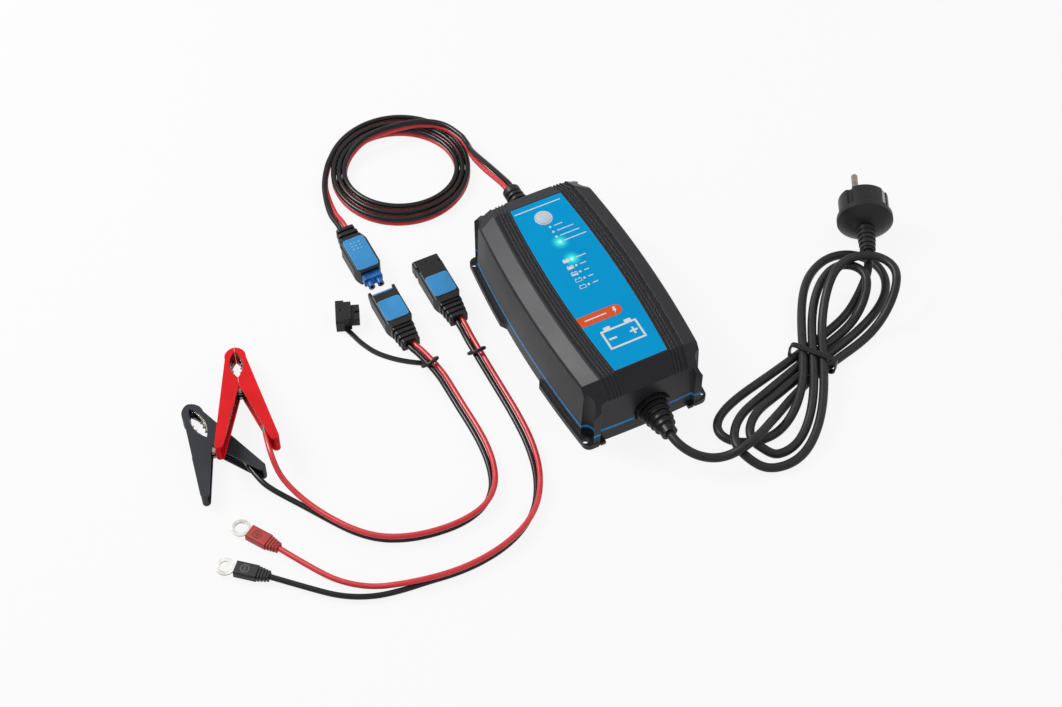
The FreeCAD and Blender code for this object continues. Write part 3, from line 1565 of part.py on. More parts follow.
clamp_lead_route = [(clamp_socket_x, socket_boot_y + clamp_socket_dy + cord_socket_depth, 7.0, -90),
                    (clamp_socket_x, 38.6, 7.0, -90), (-116.9, 31.5, 6.8, -90),
                    (-111.9, 9.5, 5.65, -90), (-110.9, -6.5, 3.4, -90), (-110.4, -22.0, 2.3, -90),
                    (-109.8, -40.0, 2.3, -88), (-110.2, -58.0, 2.8, -74), (-113.0, -77.0, 3.5, -54),
                    (-119.5, -94.5, 4.0, -34), (-133.0, -106.8, 4.3, -15),
                    (-152.0, -111.0, 4.35, 0), (-172.0, -109.8, 4.35, 0), (-190.0, -105.5, 4.35, 0),
                    (-206.5, -97.5, 4.35, 0), (-220.0, -84.5, 4.35, 0), (-231.5, -67.0, 4.35, 0)]
clamp_red_branch = [(-239.5, -51.5, 6.9), (-245.8, -36.5, 9.6), (-249.6, -24.5, 15.0)]
clamp_black_branch = [(-240.6, -52.0, 2.3), (-249.0, -39.5, 3.0), (-256.5, -29.0, 4.8)]
eyelet_lead_route = [(eyelet_socket_x, socket_boot_y + eyelet_socket_dy + cord_socket_depth, 9.8, -90),
                     (eyelet_socket_x, 40.5, 9.8, -90), (eyelet_socket_x, 34.0, 8.6, -90),
                     (eyelet_socket_x, 26.0, 6.9, -90), (-79.9, 5.0, 5.3, -90),
                     (-79.3, -11.0, 3.1, -90), (-79.0, -28.0, 2.3, -90), (-79.2, -48.0, 2.4, -82),
                     (-81.0, -72.0, 3.0, -66), (-86.8, -97.0, 3.7, -46), (-98.2, -118.5, 4.1, -28),
                     (-113.2, -132.0, 4.3, -12), (-132.0, -140.3, 4.35, 0),
                     (-154.0, -144.2, 4.35, 0), (-174.0, -144.0, 4.35, 0),
                     (-191.0, -141.5, 4.35, 0)]
eyelet_red_branch = [(-209.0, -136.9, 5.9), (-226.5, -129.4, 3.4), (-243.0, -117.0, 3.4),
                     (-255.2, -100.6, 3.4)]
eyelet_black_branch = [(-209.5, -139.9, 2.5), (-229.0, -136.4, 3.4), (-248.0, -126.5, 3.4),
                       (-264.6, -111.0, 3.4)]


def offset_core(route, side):
    """Route of one core of the pair, half a pitch from the middle line."""
    points = [Vector(*p[:3]) for p in route]
    result = []
    for index, point in enumerate(points):
        before = point - points[index - 1] if index else points[1] - point
        after = points[index + 1] - point if index + 1 < len(points) else before
        before.normalize()
        after.normalize()
        way = (before + after).normalize()
        up = (Vector(0, 0, 1) - way * way.z).normalize()
        right = way.cross(up)
        turn = math.radians(route[index][3])
        outward = up * math.cos(turn) + right * math.sin(turn)
        # a little more at a bend, so that the cores keep their distance along both sides of it
        bend = abs((after - before).normalize().dot(outward)) if (after - before).Length > 1e-6 else 0
        widen = 1 / math.cos(before.getAngle(after) / 2) ** (0.5 if bend < 0.7 else 1.0)
        result.append(tuple(point + outward * (side * core_pitch / 2 * widen)))
    return result


def smooth(share):
    return share * share * (3 - 2 * share)


def coil_turn(angle):
    """Turns out from the innermost; the lead's first pass crosses from outside to inside."""
    if angle < coil_pass_end:
        share = (angle - coil_start_angle) / (coil_pass_end - coil_start_angle)
        return coil_pass_turn * (1 - smooth(share))
    return (angle - coil_pass_end) / 360.0


def coil_height(angle):
    """Lift of the first pass, which lies over the other turns and then goes down inside them."""
    if angle < coil_pass_end:
        return coil_lift
    return coil_lift * (1 - smooth(min(1.0, (angle - coil_pass_end) / coil_fall)))


def coil_point(t):
    angle = coil_start_angle + (coil_end_angle - coil_start_angle) * t
    turn = coil_turn(angle)
    wide = (coil_least[0] + coil_growth[0] * turn) * math.cos(math.radians(angle))
    deep = (coil_least[1] + coil_growth[1] * turn) * math.sin(math.radians(angle)) + coil_back
    return Vector(coil_centre[0] + wide * coil_wide[0] + deep * coil_deep[0],
                  coil_centre[1] + wide * coil_wide[1] + deep * coil_deep[1],
                  lower_core_z + coil_height(angle))


def upper_coil_point(t):
    low = coil_point(max(0.0, t - 1e-4))
    high = coil_point(min(1.0, t + 1e-4))
    way = (high - low).normalize()
    up = (Vector(0, 0, 1) - way * way.z).normalize()
    return coil_point(t) + up * core_pitch


coil_steps = 60
coil_edges_red = formula_path(coil_point, coil_steps, coil_lead)
coil_edges_black = formula_path(upper_coil_point, coil_steps, coil_lead)


def path_ends(edges):
    first, last = edges[0], edges[-1]
    return (tuple(first.valueAt(first.FirstParameter)), tuple(last.valueAt(last.LastParameter)))


def coil_joint(edge, side):
    """Two points in line with the coil's end: the end itself and one further along the lead."""
    if side < 0:
        end, other = edge.valueAt(edge.FirstParameter), edge.valueAt(edge.LastParameter)
    else:
        end, other = edge.valueAt(edge.LastParameter), edge.valueAt(edge.FirstParameter)
    beyond = end + (end - other).normalize() * coil_joint_length
    return [tuple(beyond), tuple(end)] if side < 0 else [tuple(end), tuple(beyond)]


def wound(name, edges, diameter):
    solid, length = swept(edges, diameter)
    section = math.pi * diameter ** 2 / 4
    print("%s: length %.1f, gap to itself %.2f, volume ratio %.4f, solids %d" % (
        name, length, own_gap(edges, diameter), solid.Volume / (section * length),
        len(solid.Solids)))
    return solid


def joined(routes):
    """Tubes of one core's separate stretches as one group."""
    return group([tube(name, route, core_diameter) for name, route in routes])


# The tied mains lead: a figure eight of three turns, in its own plane coordinates

hank_centre = (131.0, -101.0)
hank_along = (0.785, 0.62)
hank_across = (0.62, -0.785)
low_z = floor_gap + mains_cord_diameter / 2 + 0.1
over_z = low_z + 7.15
waist_low = low_z + 1.2
waist_high = waist_low + 7.15
hank_steps = 10
hank_lead = 8.0
# each loop: side, reach, width, lean, start and end offsets at the waist, (share, height) knots
hank_loops = [
    (1, 92.0, 21.5, 6.0, 11.5, 7.7,
     [(0, waist_low), (0.12, low_z), (0.38, 28.5), (0.72, 28.5), (0.95, waist_high), (1, waist_high)]),
    (-1, 101.0, 23.0, -8.0, 7.7, -3.9,
     [(0, waist_high), (0.08, over_z), (0.30, low_z), (0.42, low_z), (0.56, over_z), (0.72, over_z),
      (0.88, low_z), (1, waist_low)]),
    (1, 82.0, 17.6, 2.6, -3.9, 0.0,
     [(0, waist_low), (0.15, low_z), (0.40, 21.5), (0.60, 21.5), (0.92, waist_high), (1, waist_high)]),
    (-1, 89.0, 18.6, -6.2, 0.0, 3.8,
     [(0, waist_high), (0.08, over_z), (0.30, low_z), (0.40, low_z), (0.52, over_z), (0.72, over_z),
      (0.88, low_z), (1, waist_low)]),
    (1, 107.7, 25.3, 2.0, 3.8, -7.7,
     [(0, waist_low), (0.12, low_z), (0.70, low_z), (0.93, over_z), (1, waist_high)]),
    (-1, 88.0, 20.0, -19.0, -7.7, -11.8,
     [(0, waist_high), (0.08, over_z), (0.30, low_z), (0.88, low_z), (1, waist_low)])]


def eased(knots, t):
    for (t0, z0), (t1, z1) in zip(knots, knots[1:]):
        if t <= t1:
            share = (t - t0) / (t1 - t0)
            return z0 + (z1 - z0) * (1 - math.cos(math.pi * share)) / 2
    return knots[-1][1]


def hank_world(s, q, z):
    return Vector(hank_centre[0] + s * hank_along[0] + q * hank_across[0],
                  hank_centre[1] + s * hank_along[1] + q * hank_across[1], z)


def hank_point(t):
    count = len(hank_loops)
    index = min(int(t * count), count - 1)
    local = t * count - index
    side, reach, width, lean, start, end, knots = hank_loops[index]
    s = side * reach * math.sin(math.pi * local)
    q = (width * math.sin(2 * math.pi * local) + lean * math.sin(math.pi * local) ** 2
         + start + (end - start) * local)
    return hank_world(s, q, eased(knots, local))


hank_edges = formula_path(hank_point, hank_steps * len(hank_loops), hank_lead)
hank_start, hank_end = path_ends(hank_edges)
hank_in_way = hank_edges[0].tangentAt(hank_edges[0].FirstParameter)
hank_out_way = hank_edges[-1].tangentAt(hank_edges[-1].LastParameter)
hank_in = [tuple(Vector(*hank_start) - hank_in_way * 9.0), hank_start]
hank_out = [hank_end, tuple(Vector(*hank_end) + hank_out_way * 12.0)]

gland_strand = [(gland_x, mains_cord_start_y, gland_z), (gland_x, -121.5, gland_z),
                (5.6, -129.0, 17.8), (9.1, -136.0, 16.6), (14.5, -142.0, 14.9),
                (22.8, -147.2, 13.5), (32.4, -150.4, 14.4), (42.0, -151.6, 18.3),
                (51.5, -150.3, 20.3), (61.5, -146.4, 19.8), (71.0, -140.5, 16.0),
                (80.0, -134.4, 10.2), (89.0, -128.6, 5.4), (99.0, -123.0, 3.6),
                (108.0, -119.3, 3.6)] + hank_in
plug_strand = hank_out + [(165.6, -79.6, low_z), (178.5, -73.9, 3.7),
                          (189.0, -67.6, 6.0), (197.1, -62.2, 10.7), (203.1, -57.5, 16.0),
                          (207.1, -52.4, 19.1), (210.6, -46.6, 21.0), tuple(plug_cord_end())]

tie_width = 36.0
tie_height = 16.4
tie_corner = 3.0
tie_band = 4.0
tie_wall = 1.2


def make_tie():
    """Band round all the strands at the waist."""
    middle = floor_gap / 2 + tie_height / 2
    outer = bar(tie_width, tie_height, tie_corner + tie_wall, 0.0, -tie_band / 2, tie_band / 2, middle)
    inner = bar(tie_width - 2 * tie_wall, tie_height - 2 * tie_wall, tie_corner, 0.0, -tie_band,
                tie_band, middle)
    angle = math.degrees(math.atan2(hank_along[1], hank_along[0])) - 90
    return turned(outer.cut(inner), angle, hank_centre[0], hank_centre[1], 0.0)


# Save every node

save("upper_shell", make_shell())
save("base_tray", make_base())
save("seal_gasket", make_gasket())
save("label_panel", make_label())
save("mode_button", make_button())
save("button_switch", make_switch())
save("led_lenses", make_lenses())
save("led_board", make_lamp_board())
save("main_board", make_main_board())
save("transformer_core", make_core())
save("transformer_winding", make_winding())
save("capacitors", make_capacitors())
save("heatsink", make_heatsink())
save("power_transistors", make_transistors())
save("filter_choke", make_choke())
save("mains_fuse", make_fuse())
save("case_screws", make_screws())
save("mains_gland", make_mains_gland())
save("dc_gland", make_out_gland())

save("mains_cord", group([tube("gland strand", gland_strand, mains_cord_diameter),
                          tube("plug strand", plug_strand, mains_cord_diameter)]))
save("mains_hank", wound("hank", hank_edges, mains_cord_diameter))
save("hank_tie", make_tie())
save("plug_body", make_plug_body())
save("plug_pins", make_plug_pins())
save("plug_earth_contacts", make_plug_earth())

red_out = offset_core(out_lead, -1) + coil_joint(coil_edges_red[0], -1)
black_out = offset_core(out_lead, 1) + coil_joint(coil_edges_black[0], -1)
red_tail = coil_joint(coil_edges_red[-1], 1) + offset_core(out_tail, -1)
black_tail = coil_joint(coil_edges_black[-1], 1) + offset_core(out_tail, 1)
save("dc_cord_red", joined([("red output lead", red_out), ("red output tail", red_tail)]))
save("dc_cord_black", joined([("black output lead", black_out), ("black output tail", black_tail)]))
save("dc_coil_red", wound("red coil", coil_edges_red, core_diameter))
save("dc_coil_black", wound("black coil", coil_edges_black, core_diameter))

at_output = Vector(output_connector_x, output_connector_dy, 0)
at_clamp = Vector(clamp_socket_x, clamp_socket_dy, 0)
save("output_connector_body", moved(make_output_body(), at_output))
save("output_connector_insert", moved(make_output_insert(), at_output))
save("output_connector_contacts", moved(make_output_contacts(), at_output))

save("clamp_socket_body", moved(make_socket_body(), at_clamp))
save("clamp_socket_insert", moved(make_socket_insert(), at_clamp))
save("clamp_socket_pins", moved(make_socket_pins(), at_clamp))
save("clamp_cap", make_clamp_cap())
at_eyelet = Vector(eyelet_socket_x, eyelet_socket_dy, eyelet_socket_lift)
save("eyelet_socket_body", moved(make_socket_body(), at_eyelet))
save("eyelet_socket_insert", moved(make_socket_insert(), at_eyelet))
save("eyelet_socket_pins", moved(make_socket_pins(), at_eyelet))
save("eyelet_cap", make_eyelet_cap())

clamps = {"red": (red_pivot, red_heading, red_tilt, red_spread, red_length),
          "black": (black_pivot, black_heading, black_tilt, black_spread, black_length)}
cord_landings = {}
for colour, (pivot, heading, tilt, spread, length) in clamps.items():
    parts = {"cover_fixed": make_cover(1, spread, length),
             "cover_moving": make_cover(-1, spread, length),
             "jaw_fixed": make_fixed_jaw(spread, length),
             "jaw_moving": make_jaw(-1, spread, length, moving_low, moving_high),
             "pivot_pin": make_pivot(), "spring": make_spring(spread, length)}
    for name, shape in parts.items():
        save("%s_%s" % (colour, name), place_clamp(shape, pivot, heading, tilt))
    end, way = cord_exit(spread, length)
    landing = [end + way * cord_landing, crimp_face(spread, length)]
    cord_landings[colour] = [tuple(clamp_point(p, pivot, heading, tilt)) for p in landing]
    axis = clamp_point(Vector(0, 0, 1), pivot, heading, tilt) - clamp_point(Vector(0, 0, 0), pivot,
                                                                        heading, tilt)
    print(colour, "pivot", clamp_point(Vector(0, 0, clamp_height / 2), pivot, heading, tilt),
          "axis", axis, "cord end", cord_landings[colour])

red_clamp_route = offset_core(clamp_lead_route, 1) + clamp_red_branch + cord_landings["red"]
black_clamp_route = offset_core(clamp_lead_route, -1) + clamp_black_branch + cord_landings["black"]
save("clamp_cord_red", tube("red clamp core", red_clamp_route, core_diameter))
save("clamp_cord_black", tube("black clamp core", black_clamp_route, core_diameter))

red_eyelet_route = (offset_core(eyelet_lead_route, 1) + eyelet_red_branch
                    + [terminal_cord_end(red_ring, red_ring_angle)])
black_eyelet_route = (offset_core(eyelet_lead_route, -1) + eyelet_black_branch
                      + [terminal_cord_end(black_ring, black_ring_angle)])
save("eyelet_cord_red", tube("red terminal core", red_eyelet_route, core_diameter))
save("eyelet_cord_black", tube("black terminal core", black_eyelet_route, core_diameter))
save("red_eyelet_boot", turned(make_terminal_boot(), red_ring_angle, red_ring[0], red_ring[1], floor_gap))
save("black_eyelet_boot", turned(make_terminal_boot(), black_ring_angle, black_ring[0], black_ring[1],
                                 floor_gap))
save("ring_terminals", group([
    turned(make_ring(), red_ring_angle, red_ring[0], red_ring[1], floor_gap),
    turned(make_ring(), black_ring_angle, black_ring[0], black_ring[1], floor_gap)]))

for label, route in (("gland strand", gland_strand), ("plug strand", plug_strand),
                     ("red output lead", red_out), ("black output lead", black_out),
                     ("red output tail", red_tail), ("black output tail", black_tail),
                     ("red clamp core", red_clamp_route), ("black clamp core", black_clamp_route),
                     ("red terminal core", red_eyelet_route),
                     ("black terminal core", black_eyelet_route)):
    print(label, "route", " ".join("(%.2f, %.2f, %.2f)" % tuple(p) for p in route))
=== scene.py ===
"""Finishes, leads, printed front, camera and studio of a sealed battery charger.

Lengths in the tables and finishes are millimetres in the charger's own frame: +Z up, the case's
long side along Y with the mains end at -Y, the origin in the middle of the case's underside.
"""

import json
import math

import bmesh
import bpy
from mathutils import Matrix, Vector


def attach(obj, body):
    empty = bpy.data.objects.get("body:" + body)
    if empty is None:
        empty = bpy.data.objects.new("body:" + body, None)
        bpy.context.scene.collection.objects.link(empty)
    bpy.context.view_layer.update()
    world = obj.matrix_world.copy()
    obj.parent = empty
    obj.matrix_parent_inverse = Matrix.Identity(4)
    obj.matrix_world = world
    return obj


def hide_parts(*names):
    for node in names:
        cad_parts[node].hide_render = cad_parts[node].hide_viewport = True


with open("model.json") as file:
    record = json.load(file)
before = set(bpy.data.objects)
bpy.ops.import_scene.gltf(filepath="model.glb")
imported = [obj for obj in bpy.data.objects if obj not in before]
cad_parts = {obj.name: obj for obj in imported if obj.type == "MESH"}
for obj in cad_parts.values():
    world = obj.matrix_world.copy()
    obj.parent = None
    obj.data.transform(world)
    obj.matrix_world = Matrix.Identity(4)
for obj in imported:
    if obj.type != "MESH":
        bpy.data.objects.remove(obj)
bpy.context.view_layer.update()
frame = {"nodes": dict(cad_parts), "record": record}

MM = 0.001


def metres(point):
    """A place in millimetres, in the metres that Blender works in."""
    return tuple(value * MM for value in point)


# ---------------------------------------------------------------- camera

# where the camera looks and how far off it stands, in metres, and its two angles in degrees
CAMERA_TARGET = (-0.04435, -0.00103, 0.0)
CAMERA_DISTANCE = 1.5
CAMERA_AZIMUTH = -26.74
CAMERA_ELEVATION = 53.1
# the lens and its sensor
CAMERA_LENS = 70.44
SENSOR_WIDTH = 36.0
CLIP_START = 0.05


def place_camera():
    """The camera of the main view."""
    turn = math.radians(CAMERA_AZIMUTH)
    rise = math.radians(CAMERA_ELEVATION)
    back = Vector((math.sin(turn) * math.cos(rise), -math.cos(turn) * math.cos(rise),
                   math.sin(rise)))
    lens = bpy.data.cameras.new("photo_camera")
    lens.lens = CAMERA_LENS
    lens.sensor_width = SENSOR_WIDTH
    lens.clip_start = CLIP_START
    camera = bpy.data.objects.new("photo_camera", lens)
    camera.location = Vector(CAMERA_TARGET) + back * CAMERA_DISTANCE
    camera.rotation_euler = (math.pi / 2 - rise, 0.0, turn)
    bpy.context.scene.collection.objects.link(camera)
    bpy.context.scene.camera = camera


place_camera()
bpy.context.scene.view_settings.view_transform = "Standard"


# ---------------------------------------------------------------- finishes

def paint(red, green, blue):
    """A colour as a screen shows it, 0 to 255 a channel, in the linear light Blender works in."""
    def linear(level):
        share = level / 255.0
        return share / 12.92 if share <= 0.04045 else ((share + 0.055) / 1.055) ** 2.4
    return (linear(red), linear(green), linear(blue), 1.0)


def toned(colour, share):
    """The colour at that share of its brightness."""
    return tuple(channel * share for channel in colour[:3]) + (1.0,)


class Signal:
    """A socket of a node tree that takes part in sums."""

    def __init__(self, nodes, socket):
        self.nodes = nodes
        self.socket = socket

    def of(self, output):
        """Another output of the same node."""
        return Signal(self.nodes, self.socket.node.outputs[output])

    def sum(self, operation, *values):
        return self.nodes.node("ShaderNodeMath", {"operation": operation},
                               dict(enumerate(values)))

    def __add__(self, other):
        return self.sum("ADD", self, other)

    def __sub__(self, other):
        return self.sum("SUBTRACT", self, other)

    def __rsub__(self, other):
        return self.sum("SUBTRACT", other, self)

    def __mul__(self, other):
        return self.sum("MULTIPLY", self, other)

    def __pow__(self, other):
        return self.sum("POWER", self, other)

    __radd__ = __add__
    __rmul__ = __mul__

    def within(self, low, high):
        """0 at low, 1 at high, straight between and held outside."""
        return self.nodes.node("ShaderNodeMapRange", {"clamp": True},
                               {"Value": self, "From Min": low, "From Max": high})


class Nodes:
    """A node tree and the one way in which its nodes are made."""

    def __init__(self, tree):
        self.tree = tree

    def node(self, kind, settings, values):
        """A node of that kind, with its settings set first and then its sockets fed."""
        made = self.tree.nodes.new(kind)
        for key, value in settings.items():
            setattr(made, key, value)
        for key, value in values.items():
            self.feed(made.inputs[key], value)
        return Signal(self, next(out for out in made.outputs if out.enabled))

    def feed(self, socket, value):
        """Links a signal to the socket, or sets a plain value on it."""
        if isinstance(value, Signal):
            self.tree.links.new(value.socket, socket)
        else:
            socket.default_value = value

    def seen(self):
        """1 where the eye looks, straight or by way of gloss or glass, and 0 for other rays."""
        path = self.node("ShaderNodeLightPath", {}, {})
        mirrored = path.sum("MAXIMUM", path.of("Is Camera Ray"), path.of("Is Glossy Ray"))
        return path.sum("MAXIMUM", mirrored, path.of("Is Transmission Ray"))


# a colour Mix node's sockets: its share, its two colours and its result
MIX_SHARE, MIX_FIRST, MIX_SECOND, MIX_RESULT = 0, 6, 7, 2
BEVEL_SAMPLES = 8
# how far the softened normal leans on a flat face and on a sharp edge
LEAN_ON_FACE, LEAN_ON_EDGE = 0.02, 0.25


class Finish(Nodes):
    """One material of the charger and the nodes that make it."""

    def __init__(self, name, **constants):
        self.material = bpy.data.materials.new(name)
        self.material.use_nodes = True
        super().__init__(self.material.node_tree)
        self.shader = self.tree.nodes["Principled BSDF"]
        self.give(**constants)
        self.place = self.node("ShaderNodeTexCoord", {}, {}).of("Object")

    def give(self, **sockets):
        """Feeds the shader's own sockets."""
        for key, value in sockets.items():
            self.feed(self.shader.inputs[key.replace("_", " ")], value)
        return self

    def noise(self, scale, detail=2.0, roughness=0.5, stretch=None):
        """A cloudy pattern, with so many clouds a metre; stretch draws it out along an axis."""
        place = self.place if stretch is None else self.node(
            "ShaderNodeVectorMath", {"operation": "MULTIPLY"}, {0: self.place, 1: stretch})
        return self.node("ShaderNodeTexNoise", {},
                         {"Vector": place, "Scale": scale, "Detail": detail,
                          "Roughness": roughness})

    def blend(self, mask, first, second):
        """first where the mask is 0, second where it is 1; both are colours."""
        return self.node("ShaderNodeMix", {"data_type": "RGBA"},
                         {MIX_SHARE: mask, MIX_FIRST: first, MIX_SECOND: second}).of(MIX_RESULT)

    def softened_edges(self, radius):
        """The surface's normal with edges rounded by radius millimetres."""
        return self.node("ShaderNodeBevel", {"samples": BEVEL_SAMPLES}, {"Radius": radius * MM})

    def relief(self, height, depth, strength, normal=None):
        """The normal over a height that goes depth millimetres deep."""
        values = {"Height": height, "Distance": depth * MM, "Strength": strength}
        if normal is not None:
            values["Normal"] = normal
        return self.node("ShaderNodeBump", {}, values)

    def edge_wear_and_highlight(self, soft):
        """1 on sharp edges and 0 on flat faces, from how far the softened normal leans."""
        flat = self.node("ShaderNodeNewGeometry", {}, {}).of("True Normal")
        lean = self.node("ShaderNodeVectorMath", {"operation": "DOT_PRODUCT"},
                         {0: soft, 1: flat})
        return (1.0 - lean.of("Value")).within(LEAN_ON_FACE, LEAN_ON_EDGE)


# stretches of a noise's values, from where a blend starts to where it ends
MIDDLE = (0.3, 0.7)
WIDE_MIDDLE = (0.2, 0.8)
UPPER_MIDDLE = (0.35, 0.75)
BLACK = (0.0, 0.0, 0.0, 1.0)
WHITE = (1.0, 1.0, 1.0, 1.0)


def moulded(name, colour, paler_colour, roughness, grain, grain_depth, edge=0.3, wear_and_highlight_share=0.5,
            **constants):
    """Moulded plastic or rubber: spark-eroded grain, cloudy sheen, and edges slightly polished and
    drawn paler, partly as wear and partly as a painted highlight.
    """
    grain_dulls, cloud_dulls, wear_polishes = 0.12, 0.08, 0.08
    finish = Finish(name, **constants)
    soft = finish.softened_edges(edge)
    texture = finish.noise(grain, detail=3.0, roughness=0.6)
    cloud = finish.noise(45.0)
    wear_and_highlight = finish.edge_wear_and_highlight(soft)
    body = finish.blend(cloud.within(*MIDDLE), toned(colour, 0.9), toned(colour, 1.1))
    even = roughness - (grain_dulls + cloud_dulls) / 2
    return finish.give(
        # the paler colour on the edges is partly wear and partly a painted highlight
        Base_Color=finish.blend(wear_and_highlight * wear_and_highlight_share, body, paler_colour),
        Roughness=(texture.within(*WIDE_MIDDLE) * grain_dulls + (cloud * cloud_dulls + even)
                   - wear_and_highlight * wear_polishes),
        Normal=finish.relief(texture, grain_depth, strength=0.6, normal=soft))


def make_rubber(name, colour, paler_colour, roughness=0.45):
    """Matt rubber."""
    return moulded(name, colour, paler_colour, roughness, grain=1800.0, grain_depth=0.04,
                   Specular_IOR_Level=0.22)


def make_insulation(name, colour, paler_colour, roughness, ripple_depth, sheen=0.25):
    """Extruded sleeve of a cord: long faint ripples and a soft sheen."""
    grain_dulls = 0.08
    finish = Finish(name, Specular_IOR_Level=sheen)
    ripple = finish.noise(160.0, detail=3.0, roughness=0.55)
    grain = finish.noise(1500.0)
    return finish.give(
        Base_Color=finish.blend(ripple.within(*MIDDLE), toned(colour, 0.92), paler_colour),
        Roughness=grain * grain_dulls + (roughness - grain_dulls / 2),
        Normal=finish.relief(ripple, ripple_depth, strength=0.4))


def make_metal(name, colour, dull, roughness, brushed=None):
    """Bare metal with fine marks and duller stains; brushed draws the marks out."""
    marks_dull, stain_dulls = 0.18, 0.1
    finish = Finish(name, Metallic=1.0)
    soft = finish.softened_edges(0.15)
    marks = finish.noise(900.0, detail=4.0, roughness=0.65, stretch=brushed)
    stain = finish.noise(120.0, detail=3.0, roughness=0.6)
    even = roughness - (marks_dull + stain_dulls) / 2
    return finish.give(Base_Color=finish.blend(stain.within(*UPPER_MIDDLE), colour, dull),
                       Roughness=marks * marks_dull + stain * stain_dulls + even,
                       Normal=finish.relief(marks, 0.03, strength=0.4, normal=soft))


# each mode lamp: its place, and where the white line beside it ends
MODE_LAMPS = ((-1.2, 54.1, 8.4), (-1.2, 49.0, 15.0), (-1.2, 43.9, 17.2), (-1.2, 38.6, 20.0))
# each charge lamp: the same, and the share of charge in the battery picture beside it
CHARGE_LAMPS = ((-0.8, 20.9, 10.2, 1.0), (-0.8, 14.2, 7.0, 0.8), (-0.8, 7.9, 6.0, 0.5),
                (-0.8, 1.6, 6.2, 0.0), (-0.8, -5.0, 6.6, 0.0))
LIT_LAMPS = (MODE_LAMPS[3][:2], CHARGE_LAMPS[0][:2])
# how far a lit lamp's painted light spreads over the label
GLOW_RADIUS = 8.0
# how far its green reaches in its lens, and the part of that over which it fades
LIT_RADIUS, LIT_FADE = 1.6, (0.05, 0.3)
LENS_STRENGTH = 2.5


def near(finish, place, spot, radius):
    """1 at a spot of the front and 0 at radius millimetres from it."""
    away = finish.node("ShaderNodeVectorMath", {"operation": "DISTANCE"},
                       {0: place, 1: metres(spot) + (0.0,)}).of("Value")
    return 1.0 - away.within(0.0, radius * MM)


def flat_place(finish):
    """The place on the front, with its height left out."""
    return finish.node("ShaderNodeVectorMath", {"operation": "MULTIPLY"},
                       {0: finish.place, 1: (1.0, 1.0, 0.0)})


def make_label():
    """Printed foil: even blue with a faint orange-peel sheen, and painted green light round two
    lamps.
    """
    least_roughness, peel_dulls = 0.42, 0.06
    finish = Finish("printed_label", Specular_IOR_Level=0.06, Emission_Strength=1.0)
    plan = flat_place(finish)
    glow = sum(near(finish, plan, spot, GLOW_RADIUS) ** 2.0 for spot in LIT_LAMPS)
    peel = finish.noise(420.0)
    cloud = finish.noise(28.0)
    blue = finish.blend(cloud.within(*MIDDLE), paint(0, 158, 219), paint(0, 165, 227))
    # the green round the two lit lamps is painted light, in the base colour and the emission
    return finish.give(Base_Color=finish.blend(glow, blue, paint(70, 235, 205)),
                       Emission_Color=finish.blend(glow, BLACK, paint(60, 215, 190)),
                       Roughness=peel * peel_dulls + least_roughness,
                       Normal=finish.relief(peel, 0.02, strength=0.35))


# the output connector's nose along Y: its colour fades in over the first stretch, which lies
# beyond its tip, and out over the second, which lies at the pad
NOSE_FAR_Y = (90.0, 95.0)
NOSE_NEAR_Y = (113.0, 114.0)


def make_connector_blue():
    """Soft blue pads with paler edges; the output connector's nose is a deeper, clearer blue."""
    finish = moulded("blue_plastic", paint(62, 150, 212), paint(160, 206, 236), 0.36,
                     grain=1900.0, grain_depth=0.02, edge=0.9, Specular_IOR_Level=0.25)
    pads = finish.shader.inputs["Base Color"].links[0].from_socket
    along = finish.node("ShaderNodeSeparateXYZ", {}, {"Vector": finish.place}).of("Y")
    far_low, far_high = metres(NOSE_FAR_Y)
    near_low, near_high = metres(NOSE_NEAR_Y)
    on_nose = along.within(near_high, near_low) * along.within(far_low, far_high)
    clear = finish.noise(140.0)
    nose = finish.blend(clear.within(*MIDDLE), paint(24, 92, 168), paint(40, 120, 200))
    return finish.give(Base_Color=finish.blend(on_nose, Signal(finish, pads), nose))


def make_lens():
    """Clear lamp ends: two shine green and the rest are milky."""
    finish = Finish("lamp_lens", Roughness=0.25, Emission_Strength=LENS_STRENGTH)
    plan = flat_place(finish)
    lit = sum(near(finish, plan, spot, LIT_RADIUS).within(*LIT_FADE) for spot in LIT_LAMPS)
    haze = finish.noise(700.0)
    milky = finish.blend(haze, paint(226, 226, 232), paint(240, 236, 240))
    return finish.give(Base_Color=finish.blend(lit, milky, paint(120, 255, 205)),
                       Emission_Color=finish.blend(lit, BLACK, paint(200, 255, 238)))


def make_ink(name, colour):
    """Screen-printed ink, a little uneven."""
    least_roughness, cloud_dulls = 0.38, 0.1
    finish = Finish(name, Specular_IOR_Level=0.35)
    cloud = finish.noise(900.0)
    return finish.give(
        Base_Color=finish.blend(cloud.within(*WIDE_MIDDLE), toned(colour, 0.94), colour),
        Roughness=cloud * cloud_dulls + least_roughness)


# where the board's green mask begins and is full, from the middle of a track
TRACK_EDGE = (0.03, 0.06)


def make_board():
    """Circuit board: green mask over paler tracks."""
    least_roughness, mask_dulls = 0.32, 0.1
    finish = Finish("circuit_board", Specular_IOR_Level=0.5)
    cells = finish.node("ShaderNodeTexVoronoi", {"feature": "DISTANCE_TO_EDGE"},
                        {"Vector": finish.place, "Scale": 190.0})
    mask = cells.of("Distance").within(*TRACK_EDGE)
    return finish.give(Base_Color=finish.blend(mask, paint(58, 132, 74), paint(18, 84, 42)),
                       Roughness=mask * mask_dulls + least_roughness,
                       Normal=finish.relief(mask, 0.04, strength=0.4))


